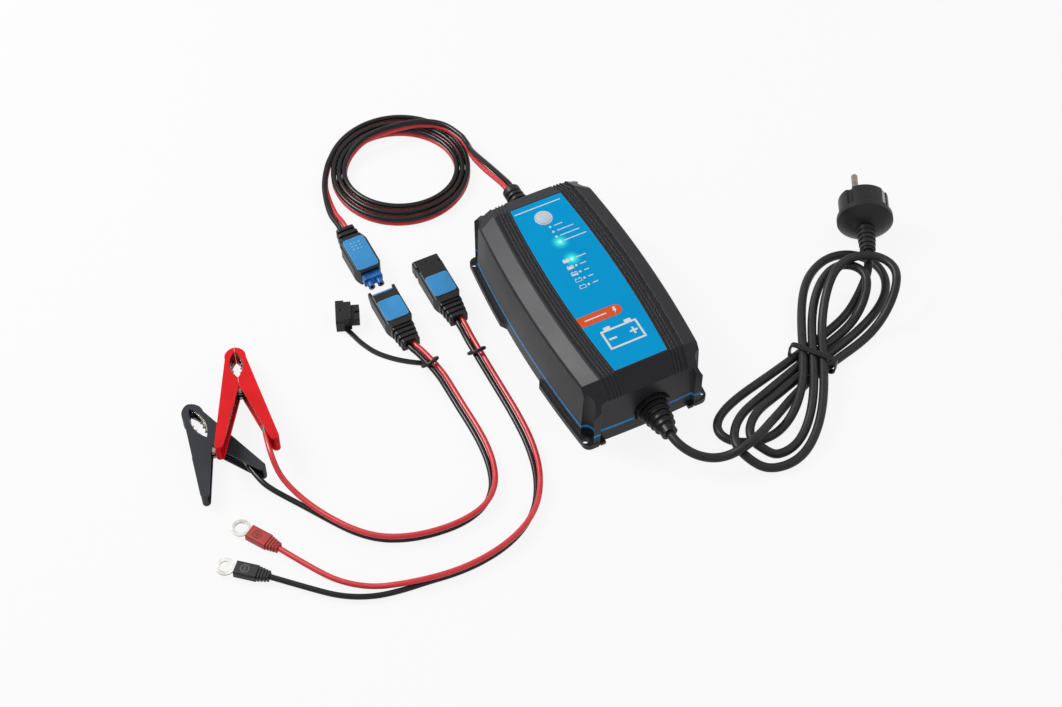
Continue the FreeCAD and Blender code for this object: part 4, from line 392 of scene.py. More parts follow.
# the finish of each material slot of the record
FINISHES = {
    # the case's edges take the paler colour at a large share: partly wear, mostly a painted
    # highlight on its ribs and edges
    "case": moulded("case_plastic", paint(35, 35, 39), paint(128, 128, 134), 0.42,
                    grain=2600.0, grain_depth=0.05, wear_and_highlight_share=0.8, Specular_IOR_Level=0.18),
    "seal": make_rubber("blue_seal_rubber", paint(0, 148, 232), paint(40, 170, 240)),
    "label": make_label(),
    "button": moulded("button_silicone", paint(206, 218, 228), paint(240, 246, 250), 0.42,
                      grain=1500.0, grain_depth=0.02, edge=0.6),
    "dark_plastic": moulded("dark_plastic", paint(34, 34, 37), paint(72, 72, 75), 0.5,
                            grain=2400.0, grain_depth=0.06, Specular_IOR_Level=0.35),
    "lens": make_lens(),
    "board": make_board(),
    "ferrite": moulded("ferrite_core", paint(58, 56, 56), paint(92, 88, 86), 0.7,
                       grain=1500.0, grain_depth=0.1),
    "copper": make_metal("copper_winding", paint(206, 122, 72), paint(150, 84, 48), 0.34),
    "aluminium": make_metal("aluminium", paint(196, 198, 202), paint(150, 152, 156), 0.36,
                            brushed=(1.0, 0.12, 1.0)),
    "steel": make_metal("bright_steel", paint(158, 158, 160), paint(112, 111, 110), 0.3),
    "nickel": make_metal("nickel_plate", paint(158, 152, 144), paint(110, 103, 94), 0.26),
    "brass": make_metal("brass", paint(216, 178, 106), paint(158, 122, 66), 0.3),
    "tinned": make_metal("tinned_copper", paint(186, 185, 180), paint(132, 131, 126), 0.34),
    "black_rubber": make_rubber("black_rubber", paint(32, 31, 32), paint(96, 94, 95), 0.38),
    "red_cord": make_insulation("red_insulation", paint(226, 46, 54), paint(234, 54, 62), 0.34,
                                ripple_depth=0.004, sheen=0.5),
    "black_cord": make_insulation("black_insulation", paint(20, 19, 20), paint(26, 25, 26), 0.28,
                                  ripple_depth=0.003),
    "blue_plastic": make_connector_blue(),
    "red_plastic": moulded("red_plastic", paint(230, 24, 32), paint(246, 96, 98), 0.42,
                           grain=2000.0, grain_depth=0.03, edge=0.4, Specular_IOR_Level=0.12),
    "grey_plastic": moulded("black_clamp_plastic", paint(50, 54, 60), paint(120, 123, 128), 0.42,
                            grain=2000.0, grain_depth=0.03, edge=0.4, Specular_IOR_Level=0.12),
    "red_rubber": make_rubber("red_boot_rubber", paint(190, 66, 60), paint(226, 132, 124)),
    "grey_rubber": make_rubber("black_boot_rubber", paint(36, 35, 37), paint(78, 76, 78)),
}
WHITE_INK = make_ink("white_ink", paint(236, 240, 244))
ORANGE_INK = make_ink("orange_ink", paint(232, 84, 24))
PALE_BLUE = moulded("pale_blue_plastic", paint(112, 182, 224), paint(190, 222, 242), 0.34,
                    grain=1900.0, grain_depth=0.02, edge=0.2, Specular_IOR_Level=0.3)
MAINS_SLEEVE = make_insulation("mains_sleeve", paint(30, 28, 29), paint(42, 39, 40), 0.46,
                               ripple_depth=0.05)


def dress_solids():
    """Every CAD solid gets the finish of its slot."""
    for part in frame["record"]["subparts"]:
        shown = frame["nodes"][part["node"]]
        material = FINISHES[part["material_slot"]].material
        if not shown.material_slots:
            shown.data.materials.append(material)
        for holder in shown.material_slots:
            holder.material = material


dress_solids()


# ---------------------------------------------------------------- making pieces

# faces that meet at less than this look like one round surface
SMOOTH_BELOW = math.radians(38)


def add_piece(name, data, finish, body):
    """A piece of that mesh or curve in one finish, which moves with a body."""
    piece = bpy.data.objects.new(name, data)
    bpy.context.scene.collection.objects.link(piece)
    data.materials.append(finish.material)
    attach(piece, body)
    return piece


def mesh_piece(name, build, finish, body, smooth=True):
    """A mesh piece; build fills the bmesh that it is given, in metres."""
    shape = bmesh.new()
    build(shape)
    bmesh.ops.recalc_face_normals(shape, faces=shape.faces)
    data = bpy.data.meshes.new(name)
    shape.to_mesh(data)
    shape.free()
    if smooth:
        data.polygons.foreach_set("use_smooth", [True] * len(data.polygons))
        data.set_sharp_from_angle(angle=SMOOTH_BELOW)
    add_piece(name, data, finish, body)


# ---------------------------------------------------------------- leads

CORE_DIAMETER = 4.0
CORE_PITCH = 4.3
MAINS_DIAMETER = 6.5
LOWER_CORE_Z = 2.2
# how many steps a lead's section and each span between its points are drawn in
LEAD_ROUND_STEPS, LEAD_SPAN_STEPS = 5, 6

# the loose coil of the output lead: an oval, its two axes in plan and how far it is set back
COIL_CENTRE = (-56.65, 199.8)
COIL_WIDE, COIL_DEEP, COIL_BACK = (0.893, -0.45), (0.45, 0.893), -1.2
# its smallest half widths, and by how much they grow with each turn
COIL_LEAST, COIL_GROWTH = (42.1, 35.3), (4.25, 6.8)
# the angles at which it starts, is past the other turns, and ends, in degrees
COIL_START, COIL_PASS_END, COIL_END = 29.0, 112.0, 1254.0
# the turn from which it passes in, how high it passes over the others, and the degrees in which
# it comes down after them
COIL_PASS_TURN, COIL_LIFT, COIL_FALL = 2.9, 8.9, 65.0
COIL_STEPS = 60
# how far to each side of a point the run of the core is looked at, as a share of the coil
COIL_REACH = 1e-4


def level_out(share):
    """From 0 to 1 with a soft start and end."""
    return share * share * (3 - 2 * share)


def coil_point(share):
    """The lower core in the loose coil: over the other turns to the middle first, then out."""
    angle = COIL_START + (COIL_END - COIL_START) * share
    if angle < COIL_PASS_END:
        passed = (angle - COIL_START) / (COIL_PASS_END - COIL_START)
        turn, lift = COIL_PASS_TURN * (1 - level_out(passed)), COIL_LIFT
    else:
        after = angle - COIL_PASS_END
        turn, lift = after / 360.0, COIL_LIFT * (1 - level_out(min(1.0, after / COIL_FALL)))
    wide = (COIL_LEAST[0] + COIL_GROWTH[0] * turn) * math.cos(math.radians(angle))
    deep = (COIL_LEAST[1] + COIL_GROWTH[1] * turn) * math.sin(math.radians(angle)) + COIL_BACK
    return Vector((COIL_CENTRE[0] + wide * COIL_WIDE[0] + deep * COIL_DEEP[0],
                   COIL_CENTRE[1] + wide * COIL_WIDE[1] + deep * COIL_DEEP[1],
                   LOWER_CORE_Z + lift))


def upper_coil_point(share):
    """The upper core, one pitch above the lower one, square to its run."""
    low = coil_point(max(0.0, share - COIL_REACH))
    high = coil_point(min(1.0, share + COIL_REACH))
    way = (high - low).normalized()
    up = (Vector((0, 0, 1)) - way * way.z).normalized()
    return coil_point(share) + up * CORE_PITCH


# the figure-eight hank of the mains lead, and its two axes in plan
HANK_CENTRE = (131.0, -101.0)
HANK_ALONG, HANK_ACROSS = (0.785, 0.62), (0.62, -0.785)
# the heights of its strands: on the floor, over one other, and in the tie
LOW_Z, OVER_Z, WAIST_LOW, WAIST_HIGH = 3.55, 10.7, 4.75, 11.9
# the points that each loop gets
HANK_STEPS = 24
# each loop: side, reach, width, lean, offsets at the waist, (share, height) knots
HANK_LOOPS = (
    (1, 92.0, 21.5, 6.0, 11.5, 7.7,
     ((0, WAIST_LOW), (0.12, LOW_Z), (0.38, 28.5), (0.72, 28.5), (0.95, WAIST_HIGH),
      (1, WAIST_HIGH))),
    (-1, 101.0, 23.0, -8.0, 7.7, -3.9,
     ((0, WAIST_HIGH), (0.08, OVER_Z), (0.30, LOW_Z), (0.42, LOW_Z), (0.56, OVER_Z),
      (0.72, OVER_Z), (0.88, LOW_Z), (1, WAIST_LOW))),
    (1, 82.0, 17.6, 2.6, -3.9, 0.0,
     ((0, WAIST_LOW), (0.15, LOW_Z), (0.40, 21.5), (0.60, 21.5), (0.92, WAIST_HIGH),
      (1, WAIST_HIGH))),
    (-1, 89.0, 18.6, -6.2, 0.0, 3.8,
     ((0, WAIST_HIGH), (0.08, OVER_Z), (0.30, LOW_Z), (0.40, LOW_Z), (0.52, OVER_Z),
      (0.72, OVER_Z), (0.88, LOW_Z), (1, WAIST_LOW))),
    (1, 107.7, 25.3, 2.0, 3.8, -7.7,
     ((0, WAIST_LOW), (0.12, LOW_Z), (0.70, LOW_Z), (0.93, OVER_Z), (1, WAIST_HIGH))),
    (-1, 88.0, 20.0, -19.0, -7.7, -11.8,
     ((0, WAIST_HIGH), (0.08, OVER_Z), (0.30, LOW_Z), (0.88, LOW_Z), (1, WAIST_LOW))))


def eased(knots, share):
    """The height at a share of a loop, softly from knot to knot."""
    for (here, low), (there, high) in zip(knots, knots[1:]):
        if share <= there:
            part = (share - here) / (there - here)
            return low + (high - low) * (1 - math.cos(math.pi * part)) / 2
    return knots[-1][1]


def hank_point(share):
    """The mains lead in its tied figure eight."""
    index = min(int(share * len(HANK_LOOPS)), len(HANK_LOOPS) - 1)
    local = share * len(HANK_LOOPS) - index
    side, reach, width, lean, start, end, knots = HANK_LOOPS[index]
    along = side * reach * math.sin(math.pi * local)
    across = (width * math.sin(2 * math.pi * local) + lean * math.sin(math.pi * local) ** 2
              + start + (end - start) * local)
    return (HANK_CENTRE[0] + along * HANK_ALONG[0] + across * HANK_ACROSS[0],
            HANK_CENTRE[1] + along * HANK_ALONG[1] + across * HANK_ACROSS[1],
            eased(knots, local))


def stations(place, steps):
    """Points of a wound stretch, from its start to its end."""
    return [tuple(place(index / steps)) for index in range(steps + 1)]


# the points of the free stretches, from the exit to the far end
GLAND_STRAND = [
    (4.0, -115.0, 18.5), (4.0, -121.5, 18.5), (5.6, -129.0, 17.8), (9.1, -136.0, 16.6),
    (14.5, -142.0, 14.9), (22.8, -147.2, 13.5), (32.4, -150.4, 14.4), (42.0, -151.6, 18.3),
    (51.5, -150.3, 20.3), (61.5, -146.4, 19.8), (71.0, -140.5, 16.0), (80.0, -134.4, 10.2),
    (89.0, -128.6, 5.4), (99.0, -123.0, 3.6), (108.0, -119.3, 3.6), (121.63, -114.1, 4.75)]
PLUG_STRAND = [
    (143.04, -86.71, 4.75), (165.6, -79.6, 3.55), (178.5, -73.9, 3.7), (189.0, -67.6, 6.0),
    (197.1, -62.2, 10.7), (203.1, -57.5, 16.0), (207.1, -52.4, 19.1), (210.6, -46.6, 21.0),
    (213.78, -40.17, 21.2)]
RED_OUT = [
    (-4.65, 113.2, 38.0), (-4.66, 121.43, 38.0), (-5.14, 129.34, 35.53), (-5.67, 138.7, 31.91),
    (-6.0, 148.53, 27.83), (-5.81, 158.88, 23.41), (-5.4, 169.8, 18.99), (-4.61, 179.76, 15.19),
    (-2.26, 189.14, 11.1), (-2.54, 197.13, 11.1)]
BLACK_OUT = [
    (-0.35, 113.2, 38.0), (-0.34, 121.57, 38.0), (-0.86, 129.66, 35.67), (-1.53, 139.3, 32.89),
    (-2.4, 149.47, 29.97), (-3.19, 160.12, 26.59), (-4.0, 171.2, 22.81), (-4.19, 181.24, 19.21),
    (-2.26, 189.14, 15.4), (-2.54, 197.13, 15.4)]
RED_TAIL = [
    (-106.07, 225.57, 2.2), (-110.47, 218.88, 2.2), (-114.97, 208.36, 2.25), (-116.87, 197.7, 2.7),
    (-118.17, 187.67, 3.67), (-118.81, 178.45, 5.14), (-117.75, 169.61, 6.63),
    (-117.75, 164.0, 7.0), (-117.75, 156.0, 7.0)]
BLACK_TAIL = [
    (-106.07, 225.57, 6.5), (-110.47, 218.88, 6.5), (-115.83, 208.64, 6.45), (-119.13, 198.3, 6.3),
    (-121.63, 188.33, 6.13), (-122.99, 178.55, 6.26), (-122.05, 169.39, 6.77),
    (-122.05, 164.0, 7.0), (-122.05, 156.0, 7.0)]
RED_CLAMP_CORE = [
    (-117.75, 44.5, 7.0), (-117.75, 39.04, 7.0), (-114.85, 32.16, 6.8), (-109.76, 9.81, 5.65),
    (-108.75, -6.4, 3.4), (-108.25, -21.93, 2.3), (-107.65, -39.99, 2.38), (-108.14, -58.16, 3.39),
    (-111.3, -77.4, 4.77), (-118.47, -95.15, 5.81), (-132.72, -107.29, 6.41),
    (-152.0, -111.0, 6.51), (-172.0, -109.8, 6.5), (-190.0, -105.5, 6.51), (-206.5, -97.5, 6.51),
    (-220.0, -84.5, 6.51), (-231.5, -67.0, 6.5), (-239.5, -51.5, 6.9), (-245.8, -36.5, 9.6),
    (-249.6, -24.5, 15.0), (-249.46, -10.62, 25.17), (-246.1, 4.74, 22.2)]
BLACK_CLAMP_CORE = [
    (-122.05, 44.5, 7.0), (-122.05, 38.16, 7.0), (-118.95, 30.84, 6.8), (-114.04, 9.19, 5.65),
    (-113.05, -6.6, 3.4), (-112.55, -22.07, 2.3), (-111.95, -40.01, 2.22), (-112.26, -57.84, 2.21),
    (-114.7, -76.6, 2.23), (-120.53, -93.85, 2.19), (-133.28, -106.31, 2.19),
    (-152.0, -111.0, 2.19), (-172.0, -109.8, 2.2), (-190.0, -105.5, 2.19), (-206.5, -97.5, 2.19),
    (-220.0, -84.5, 2.19), (-231.5, -67.0, 2.2), (-240.6, -52.0, 2.3), (-249.0, -39.5, 3.0),
    (-256.5, -29.0, 4.8), (-261.61, -19.34, 6.2), (-264.14, -3.55, 6.2)]
RED_RING_CORE = [
    (-78.05, 47.3, 9.8), (-78.05, 40.5, 9.8), (-78.05, 34.0, 8.6), (-78.05, 26.02, 6.9),
    (-77.75, 5.06, 5.3), (-77.15, -10.94, 3.1), (-76.85, -27.99, 2.3), (-77.07, -48.09, 2.7),
    (-79.05, -72.27, 3.88), (-85.33, -97.52, 5.21), (-97.38, -119.11, 6.01),
    (-112.94, -132.37, 6.42), (-132.0, -140.3, 6.51), (-154.0, -144.2, 6.5), (-174.0, -144.0, 6.5),
    (-191.0, -141.5, 6.5), (-209.0, -136.9, 5.9), (-226.5, -129.4, 3.4), (-243.0, -117.0, 3.4),
    (-255.2, -100.6, 3.4), (-272.26, -70.51, 3.6)]
BLACK_RING_CORE = [
    (-82.35, 47.3, 9.8), (-82.35, 40.5, 9.8), (-82.35, 34.0, 8.6), (-82.35, 25.98, 6.9),
    (-82.05, 4.94, 5.3), (-81.45, -11.06, 3.1), (-81.15, -28.01, 2.3), (-81.33, -47.91, 2.1),
    (-82.95, -71.73, 2.12), (-88.27, -96.48, 2.19), (-99.02, -117.89, 2.19),
    (-113.46, -131.63, 2.18), (-132.0, -140.3, 2.19), (-154.0, -144.2, 2.2), (-174.0, -144.0, 2.2),
    (-191.0, -141.5, 2.2), (-209.5, -139.9, 2.5), (-229.0, -136.4, 3.4), (-248.0, -126.5, 3.4),
    (-264.6, -111.0, 3.4), (-286.87, -88.87, 3.6)]


def make_lead(name, route, diameter, finish, body, nodes):
    """A round cord on one smooth line."""
    line = bpy.data.curves.new(name, "CURVE")
    line.dimensions = "3D"
    line.bevel_depth = diameter * MM / 2
    line.bevel_resolution = LEAD_ROUND_STEPS
    line.resolution_u = LEAD_SPAN_STEPS
    line.use_fill_caps = True
    spline = line.splines.new("NURBS")
    spline.points.add(len(route) - 1)
    for point, place in zip(spline.points, route):
        point.co = metres(place) + (1.0,)
    spline.order_u = 3
    spline.use_endpoint_u = True
    piece = add_piece(name, line, finish, body)
    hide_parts(*nodes)
    metres(route[0])


def make_core(name, route, colour, body, nodes):
    """One insulated core of a low-voltage lead, in red or black."""
    slot = colour + "_cord"
    make_lead(name, route, CORE_DIAMETER, FINISHES[slot], body, nodes)


make_lead(
    "mains_lead",
    GLAND_STRAND + stations(hank_point, HANK_STEPS * len(HANK_LOOPS)) + PLUG_STRAND,
    MAINS_DIAMETER, MAINS_SLEEVE, "charger",
    nodes=("mains_cord", "mains_hank"))
make_core(
    "output_core_red", RED_OUT + stations(coil_point, COIL_STEPS) + RED_TAIL, "red", "charger",
    nodes=("dc_cord_red", "dc_coil_red"))
make_core(
    "output_core_black", BLACK_OUT + stations(upper_coil_point, COIL_STEPS) + BLACK_TAIL,
    "black", "charger",
    nodes=("dc_cord_black", "dc_coil_black"))
make_core(
    "clamp_core_red", RED_CLAMP_CORE, "red", "clamp_lead",
    nodes=("clamp_cord_red",))
make_core(
    "clamp_core_black", BLACK_CLAMP_CORE, "black", "clamp_lead",
    nodes=("clamp_cord_black",))
make_core(
    "ring_core_red", RED_RING_CORE, "red", "terminal_lead",
    nodes=("eyelet_cord_red",))
make_core(
    "ring_core_black", BLACK_RING_CORE, "black", "terminal_lead",
    nodes=("eyelet_cord_black",))


# ---------------------------------------------------------------- clamp springs

# how far the spring's coil reaches from the pivot
SPRING_COIL_REACH = 4.6
# each clamp: its pivot and the way from it to where the core enters the fixed handle, in plan
CLAMPS = {"red": ((-246.72, 52.55), (0.6, -47.8)), "black": ((-281.3, 19.5), (17.2, -23.1))}


def keep_faces(name, source, wanted, body):
    """A piece made of those faces of a CAD mesh whose middles are wanted."""
    shape = bmesh.new()
    shape.from_mesh(source.data)
    shape.transform(source.matrix_world)
    rejected = [face for face in shape.faces if not wanted(face.calc_center_median())]
    bmesh.ops.delete(shape, geom=rejected, context="FACES")
    open_edges = [edge for edge in shape.edges if edge.is_boundary]
    bmesh.ops.holes_fill(shape, edges=open_edges)
    data = bpy.data.meshes.new(name)
    shape.to_mesh(data)
    shape.free()
    data.materials.clear()
    piece = add_piece(name, data, FINISHES["steel"], body)
    return piece


def split_spring(colour):
    """The leg in the moving handle turns with it; the coil and the other leg stay."""
    pivot, to_cord = CLAMPS[colour]
    source = frame["nodes"][colour + "_spring"]
    centre = Vector(metres(pivot))
    places = [(source.matrix_world @ vertex.co).to_2d() - centre for vertex in
              source.data.vertices]
    reach = SPRING_COIL_REACH * MM
    far = [place for place in places if place.length > reach]
    middle = sum(far, Vector((0, 0))) / len(far)

    def side(place):
        return middle.x * place.y - middle.y * place.x

    cord_side = side(Vector(to_cord))

    def moves(point):
        place = point.to_2d() - centre
        return (place.dot(middle) > 0 and place.length > reach
                and side(place) * cord_side < 0)

    keep_faces(colour + "_spring_leg", source, moves, colour + "_jaw")
    still = keep_faces(colour + "_spring_coil", source, lambda point: not moves(point),
                       "clamp_lead")
    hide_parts(colour + "_spring")


for clamp in CLAMPS:
    split_spring(clamp)


# ---------------------------------------------------------------- printed front

FRONT_Z = 60.0
# how far ink stands above the front, and how far its plates go into it
INK_THICKNESS = 0.06
INK_ROOT = 0.02
# the label's half width, and the radius of its bowed long sides
LABEL_HALF = 24.2
LABEL_BOW = 835.0
# the orange tag: its middle line, half its width, the middle of its round end, and the place and
# size of its lightning mark
TAG_Y, TAG_HALF, TAG_END_X = -33.4, 4.5, 5.3
BOLT_X, BOLT_SIZE = 4.6, 2.9
# bars as x0, x1, y0, y1 and corner radius
TAG_BAR = (-19.0, -2.0, TAG_Y - 0.5, TAG_Y + 0.5, 0.45)
TITLE_BAR = (-19.5, 17.5, 74.6, 75.4, 0.35)
# the white line beside each lamp: its thickness, its corners, and how far off the lamp it starts
LINE_THICKNESS, LINE_CORNER, LINE_GAP = 0.7, 0.3, 3.0
# a small battery picture, its heights taken from its lamp: the case, its posts and its charge
BATTERY_X, BATTERY_Y, BATTERY_LINE = (-8.0, -3.0), (-1.7, 1.2), 0.35
POSTS_X, POST_TOP = ((-7.3, -6.4), (-4.6, -3.7)), 1.8
CHARGE_X, CHARGE_LOW, CHARGE_HEIGHT = (-7.5, -3.5), -1.3, 2.2
BATTERY_CORNER = 0.1
# the steps in which a bar's corner is drawn
CORNER_STEPS = 4


def bowed(half, y):
    """Half width at y of the front's bowed long side."""
    return half - (LABEL_BOW - math.sqrt(LABEL_BOW ** 2 - y ** 2))


def print_areas(name, outlines, ink, z=FRONT_Z, body="charger"):
    """Thin closed plates of ink; each outline is one area, without holes."""
    def build(shape):
        for outline in outlines:
            low = [shape.verts.new(metres((x, y, z - INK_ROOT))) for x, y in outline]
            high = [shape.verts.new(metres((x, y, z + INK_THICKNESS))) for x, y in outline]
            shape.faces.new(high)
            shape.faces.new(list(reversed(low)))
            for index in range(len(outline)):
                after = (index + 1) % len(outline)
                shape.faces.new((low[index], low[after], high[after], high[index]))
    mesh_piece(name, build, ink, body, smooth=False)


def arc(x, y, radius, start, end, steps=12):
    """Points round (x, y) from one angle to another, in degrees."""
    return [(x + radius * math.cos(math.radians(start + (end - start) * step / steps)),
             y + radius * math.sin(math.radians(start + (end - start) * step / steps)))
            for step in range(steps + 1)]


def bar(x0, x1, y0, y1, corner):
    """A rectangle with rounded corners."""
    left, right, low, high = x0 + corner, x1 - corner, y0 + corner, y1 - corner
    outline = []
    for x, y, start in ((right, low, -90), (right, high, 0), (left, high, 90), (left, low, 180)):
        outline += arc(x, y, corner, start, start + 90, CORNER_STEPS)
    return outline


def frame_bars(x0, x1, y0, y1, line):
    """A rectangle drawn in a line of that thickness, as four bars."""
    level_corner, upright_corner, inset = line * 0.2, line * 0.1, line * 0.9
    return [bar(x0, x1, y0, y0 + line, level_corner),
            bar(x0, x1, y1 - line, y1, level_corner),
            bar(x0, x0 + line, y0 + inset, y1 - inset, upright_corner),
            bar(x1 - line, x1, y0 + inset, y1 - inset, upright_corner)]


def tag_outline():
    """The orange tag, from the label's left side to a round end."""
    left = [(INK_ROOT - bowed(LABEL_HALF, y), y)
            for y in (TAG_Y + TAG_HALF, TAG_Y, TAG_Y - TAG_HALF)]
    return left + arc(TAG_END_X, TAG_Y, TAG_HALF, -90, 90, 20)


def lamp_line(x, y, end):
    """The white line beside a lamp."""
    half = LINE_THICKNESS / 2
    return bar(x + LINE_GAP, end, y - half, y + half, LINE_CORNER)


def small_battery(y, charge):
    """A battery picture beside a charge lamp, filled to its share of charge."""
    low, high = y + BATTERY_Y[0], y + BATTERY_Y[1]
    areas = frame_bars(*BATTERY_X, low, high, BATTERY_LINE)
    areas += [bar(*post, high, y + POST_TOP, BATTERY_CORNER) for post in POSTS_X]
    if charge:
        floor = y + CHARGE_LOW
        areas.append(bar(*CHARGE_X, floor, floor + CHARGE_HEIGHT * charge, BATTERY_CORNER))
    return areas


def large_battery(x, y, half_width, half_height, line):
    """A battery picture with its two posts, a plus and a minus."""
    half_post, post_height, half_stroke, overlap = 2.6, 2.4, 3.0, 0.05
    half_line, top, apart = line / 2, y + half_height, half_width * 0.58
    areas = frame_bars(x - half_width, x + half_width, y - half_height, top, line)
    for post in (x - apart, x + apart):
        areas.append(bar(post - half_post, post + half_post, top, top + post_height,
                         corner=0.6))
        areas.append(bar(post - half_stroke, post + half_stroke, y - half_line, y + half_line,
                         corner=0.4))
    plus = x + apart
    for low, high in ((y + half_line - overlap, y + half_stroke),
                      (y - half_stroke, y - half_line + overlap)):
        areas.append(bar(plus - half_line, plus + half_line, low, high, corner=0.3))
    return areas


def bolt(x, y, size):
    """A small lightning mark."""
    shape = ((-0.1, 1.0), (0.5, 1.0), (0.15, 0.25), (0.6, 0.25), (-0.35, -1.0), (-0.05, -0.1),
             (-0.5, -0.1))
    return [(x + size * u, y + size * v) for u, v in shape]


def print_front():
    """The white marks, the orange tag, and the marks on the tag."""
    marks = [lamp_line(x, y, end) for x, y, end in MODE_LAMPS]
    for x, y, end, charge in CHARGE_LAMPS:
        marks.append(lamp_line(x, y, end))
        marks.extend(small_battery(y, charge))
    marks.append(bar(*TITLE_BAR))
    marks.extend(large_battery(x=0.0, y=-55.0, half_width=14.0, half_height=8.5, line=1.5))
    print_areas("front_marks", marks, WHITE_INK)
    print_areas("front_tag", [tag_outline()], ORANGE_INK)
    print_areas("front_tag_marks", [bolt(BOLT_X, TAG_Y, BOLT_SIZE), bar(*TAG_BAR)], WHITE_INK,
                FRONT_Z + INK_THICKNESS)


print_front()

BUTTON_AT = (-1.6, 63.8)
# the rim's section round the button: its radii and how far it rises at each
BUTTON_RIM = ((5.6, 0.0), (5.75, 0.3), (6.1, 0.42), (6.45, 0.3), (6.6, 0.0))


def build_button_rim(shape):
    """A low rounded lip of the front round the mode button."""
    around = 64
    rings = []
    for radius, rise in BUTTON_RIM:
        rings.append([shape.verts.new(metres((
            BUTTON_AT[0] + radius * math.cos(2 * math.pi * step / around),
            BUTTON_AT[1] + radius * math.sin(2 * math.pi * step / around),
            FRONT_Z + rise - INK_ROOT))) for step in range(around)])
    for inner, outer in zip(rings, rings[1:] + rings[:1]):
        for step in range(around):
            after = (step + 1) % around
            shape.faces.new((inner[step], inner[after], outer[after], outer[step]))


mesh_piece("button_rim", build_button_rim, WHITE_INK, "charger")


# ---------------------------------------------------------------- signs on the terminal boots

BOOT_TOP_Z = 7.0
# how far a sign's middle lies from its ring terminal's eye
SIGN_REACH = 14.0
# the sign's ring and the thickness of its line, and the strokes inside it
SIGN_RADIUS = 3.3
SIGN_LINE = 0.7
STROKE_HALF_LENGTH, STROKE_HALF_WIDTH = 2.0, 0.42
# how much higher each further area of a sign lies, so that crossing strokes don't share a face
SIGN_STEP = 0.02
# each boot: its eye, the way from it to the cord, and its sign's strokes in degrees
BOOTS = (("red", (-287.3, -46.9), (0.5375, -0.8433), (0, 90)),
         ("black", (-308.0, -70.5), (0.7547, -0.6561), (0,)))


def boot_sign(x, y, along, strokes):
    """A ring with a plus or a minus in it."""
    inside = SIGN_RADIUS - SIGN_LINE
    areas = [arc(x, y, SIGN_RADIUS, start, start + 180) + arc(x, y, inside, start + 180, start)
             for start in (0, 180)]
    here = Vector((x, y))
    for stroke in strokes:
        turn = math.radians(stroke) + math.atan2(along[0], -along[1])
        way = Vector((math.cos(turn), math.sin(turn)))
        reach = way * STROKE_HALF_LENGTH
        side = Vector((-way.y, way.x)) * STROKE_HALF_WIDTH
        areas.append([here + reach + side, here - reach + side, here - reach - side,
                      here + reach - side])
    return areas


def sign_boots():
    """A plus on the red boot and a minus on the black one; the black boot's sign is drawn pale
    grey as a painted highlight.
    """
    inks = {"red": make_ink("red_sign", paint(120, 30, 30)),
            # the pale grey ink of the black boot's sign is a painted highlight
            "black": make_ink("black_sign_painted_highlight", paint(92, 90, 94))}
    for colour, eye, along, strokes in BOOTS:
        x, y = Vector(eye) + Vector(along) * SIGN_REACH
        for index, area in enumerate(boot_sign(x, y, along, strokes)):
            print_areas("%s_boot_sign_%d" % (colour, index), [area], inks[colour],
                        BOOT_TOP_Z + SIGN_STEP * index, "terminal_lead")


sign_boots()


# ---------------------------------------------------------------- raised dots on the connector

PAD_TOP_Z = 14.7
DOT_CENTRE = (-119.9, 136.7)
DOT_PITCH = 3.1
DOT_RADIUS = 1.0
# a bead's height as a share of a ball's
DOT_FLATNESS = 0.5


def build_dots(shape):
    """Three rows of three flattened beads."""
    for column in (-1, 0, 1):
        for row in (-1, 0, 1):
            made = bmesh.ops.create_uvsphere(shape, u_segments=16, v_segments=10,
                                             radius=DOT_RADIUS * MM)
            for vertex in made["verts"]:
                vertex.co.z *= DOT_FLATNESS
                vertex.co += Vector(metres((DOT_CENTRE[0] + column * DOT_PITCH,
                                            DOT_CENTRE[1] + row * DOT_PITCH, PAD_TOP_Z)))


mesh_piece("connector_dots", build_dots, PALE_BLUE, "charger")


# ---------------------------------------------------------------- studio

# half the floor's side and how far it lies under the charger, in metres
FLOOR_HALF = 6.0
FLOOR_DROP = 0.0002
FLOOR_GREY = (0.86, 0.86, 0.86, 1.0)
# how much of the floor that the eye sees is plain white; the rest keeps the shadows
FLOOR_WHITE = 0.88
# the strength of the even light from all round
WORLD_LIGHT = 0.44


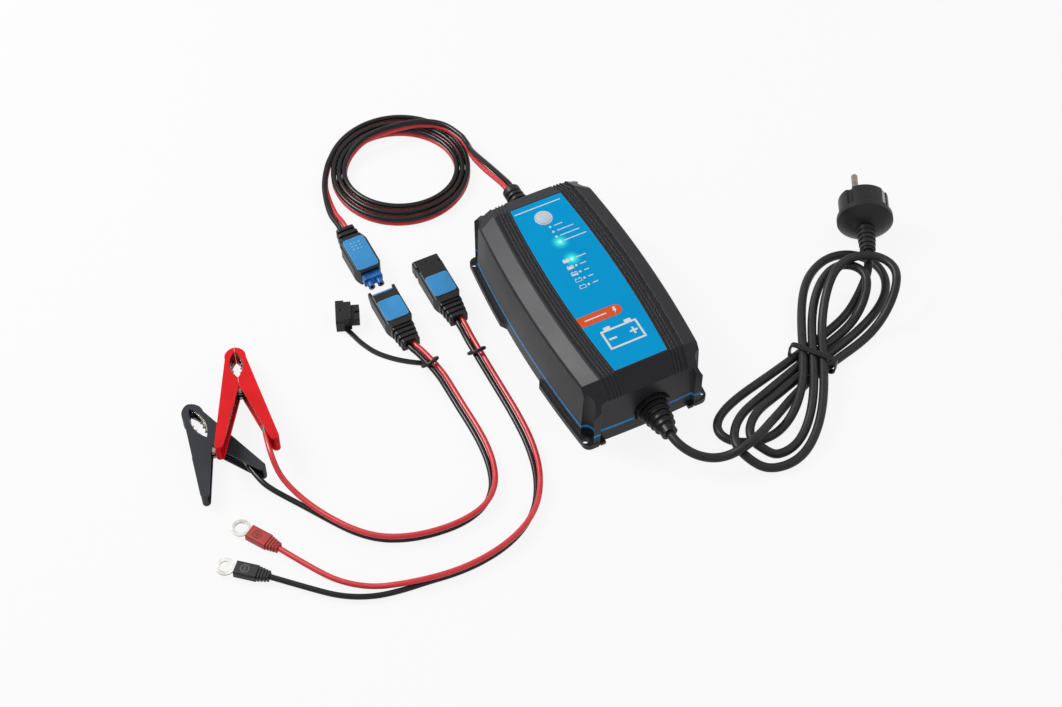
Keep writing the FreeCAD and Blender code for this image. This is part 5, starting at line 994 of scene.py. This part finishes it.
def make_floor():
    """A pale sheet that keeps the shadows and shows almost white to the camera."""
    material = bpy.data.materials.new("studio_floor")
    material.use_nodes = True
    nodes = Nodes(material.node_tree)
    nodes.tree.nodes.remove(nodes.tree.nodes["Principled BSDF"])
    lit = nodes.node("ShaderNodeBsdfDiffuse", {}, {"Color": FLOOR_GREY})
    plain = nodes.node("ShaderNodeEmission", {}, {"Color": WHITE, "Strength": 1.0})
    sheet = nodes.node("ShaderNodeMixShader", {},
                       {0: nodes.seen() * FLOOR_WHITE, 1: lit, 2: plain})
    nodes.feed(nodes.tree.nodes["Material Output"].inputs["Surface"], sheet)
    corners = [(x * FLOOR_HALF, y * FLOOR_HALF, 0.0) for x, y in
               ((-1, -1), (1, -1), (1, 1), (-1, 1))]
    data = bpy.data.meshes.new("studio_floor")
    data.from_pydata(corners, [], [(0, 1, 2, 3)])
    data.materials.append(material)
    floor = bpy.data.objects.new("studio_floor", data)
    floor.location.z = -FLOOR_DROP
    bpy.context.scene.collection.objects.link(floor)


def make_world():
    """Even light from all round, which the eye sees as white."""
    world = bpy.data.worlds.new("studio_air")
    world.use_nodes = True
    nodes = Nodes(world.node_tree)
    background = nodes.tree.nodes["Background"].inputs
    nodes.feed(background["Color"], WHITE)
    nodes.feed(background["Strength"], nodes.seen() * (1.0 - WORLD_LIGHT) + WORLD_LIGHT)
    bpy.context.scene.world = world


def make_softbox(name, direction, distance, size, power, glints_only=False):
    """A round soft light that faces the object; distance and size in metres, power in watts."""
    lamp = bpy.data.lights.new(name, "AREA")
    lamp.shape = "DISK"
    lamp.size = size
    lamp.energy = power
    softbox = bpy.data.objects.new(name, lamp)
    way = Vector(direction).normalized()
    softbox.location = Vector(CAMERA_TARGET) + way * distance
    softbox.rotation_euler = way.to_track_quat("Z", "Y").to_euler()
    softbox.visible_diffuse = not glints_only
    bpy.context.scene.collection.objects.link(softbox)


make_floor()
make_world()
make_softbox("key_softbox", (-0.5, 0.54, 0.7), distance=1.6, size=0.7, power=11.5)
make_softbox("fill_softbox", (0.75, -0.1, 0.8), distance=1.7, size=1.0, power=3.0)
make_softbox("glint_softbox", (-0.46, 0.42, 0.74), distance=1.5, size=0.5, power=20.0,
             glints_only=True)
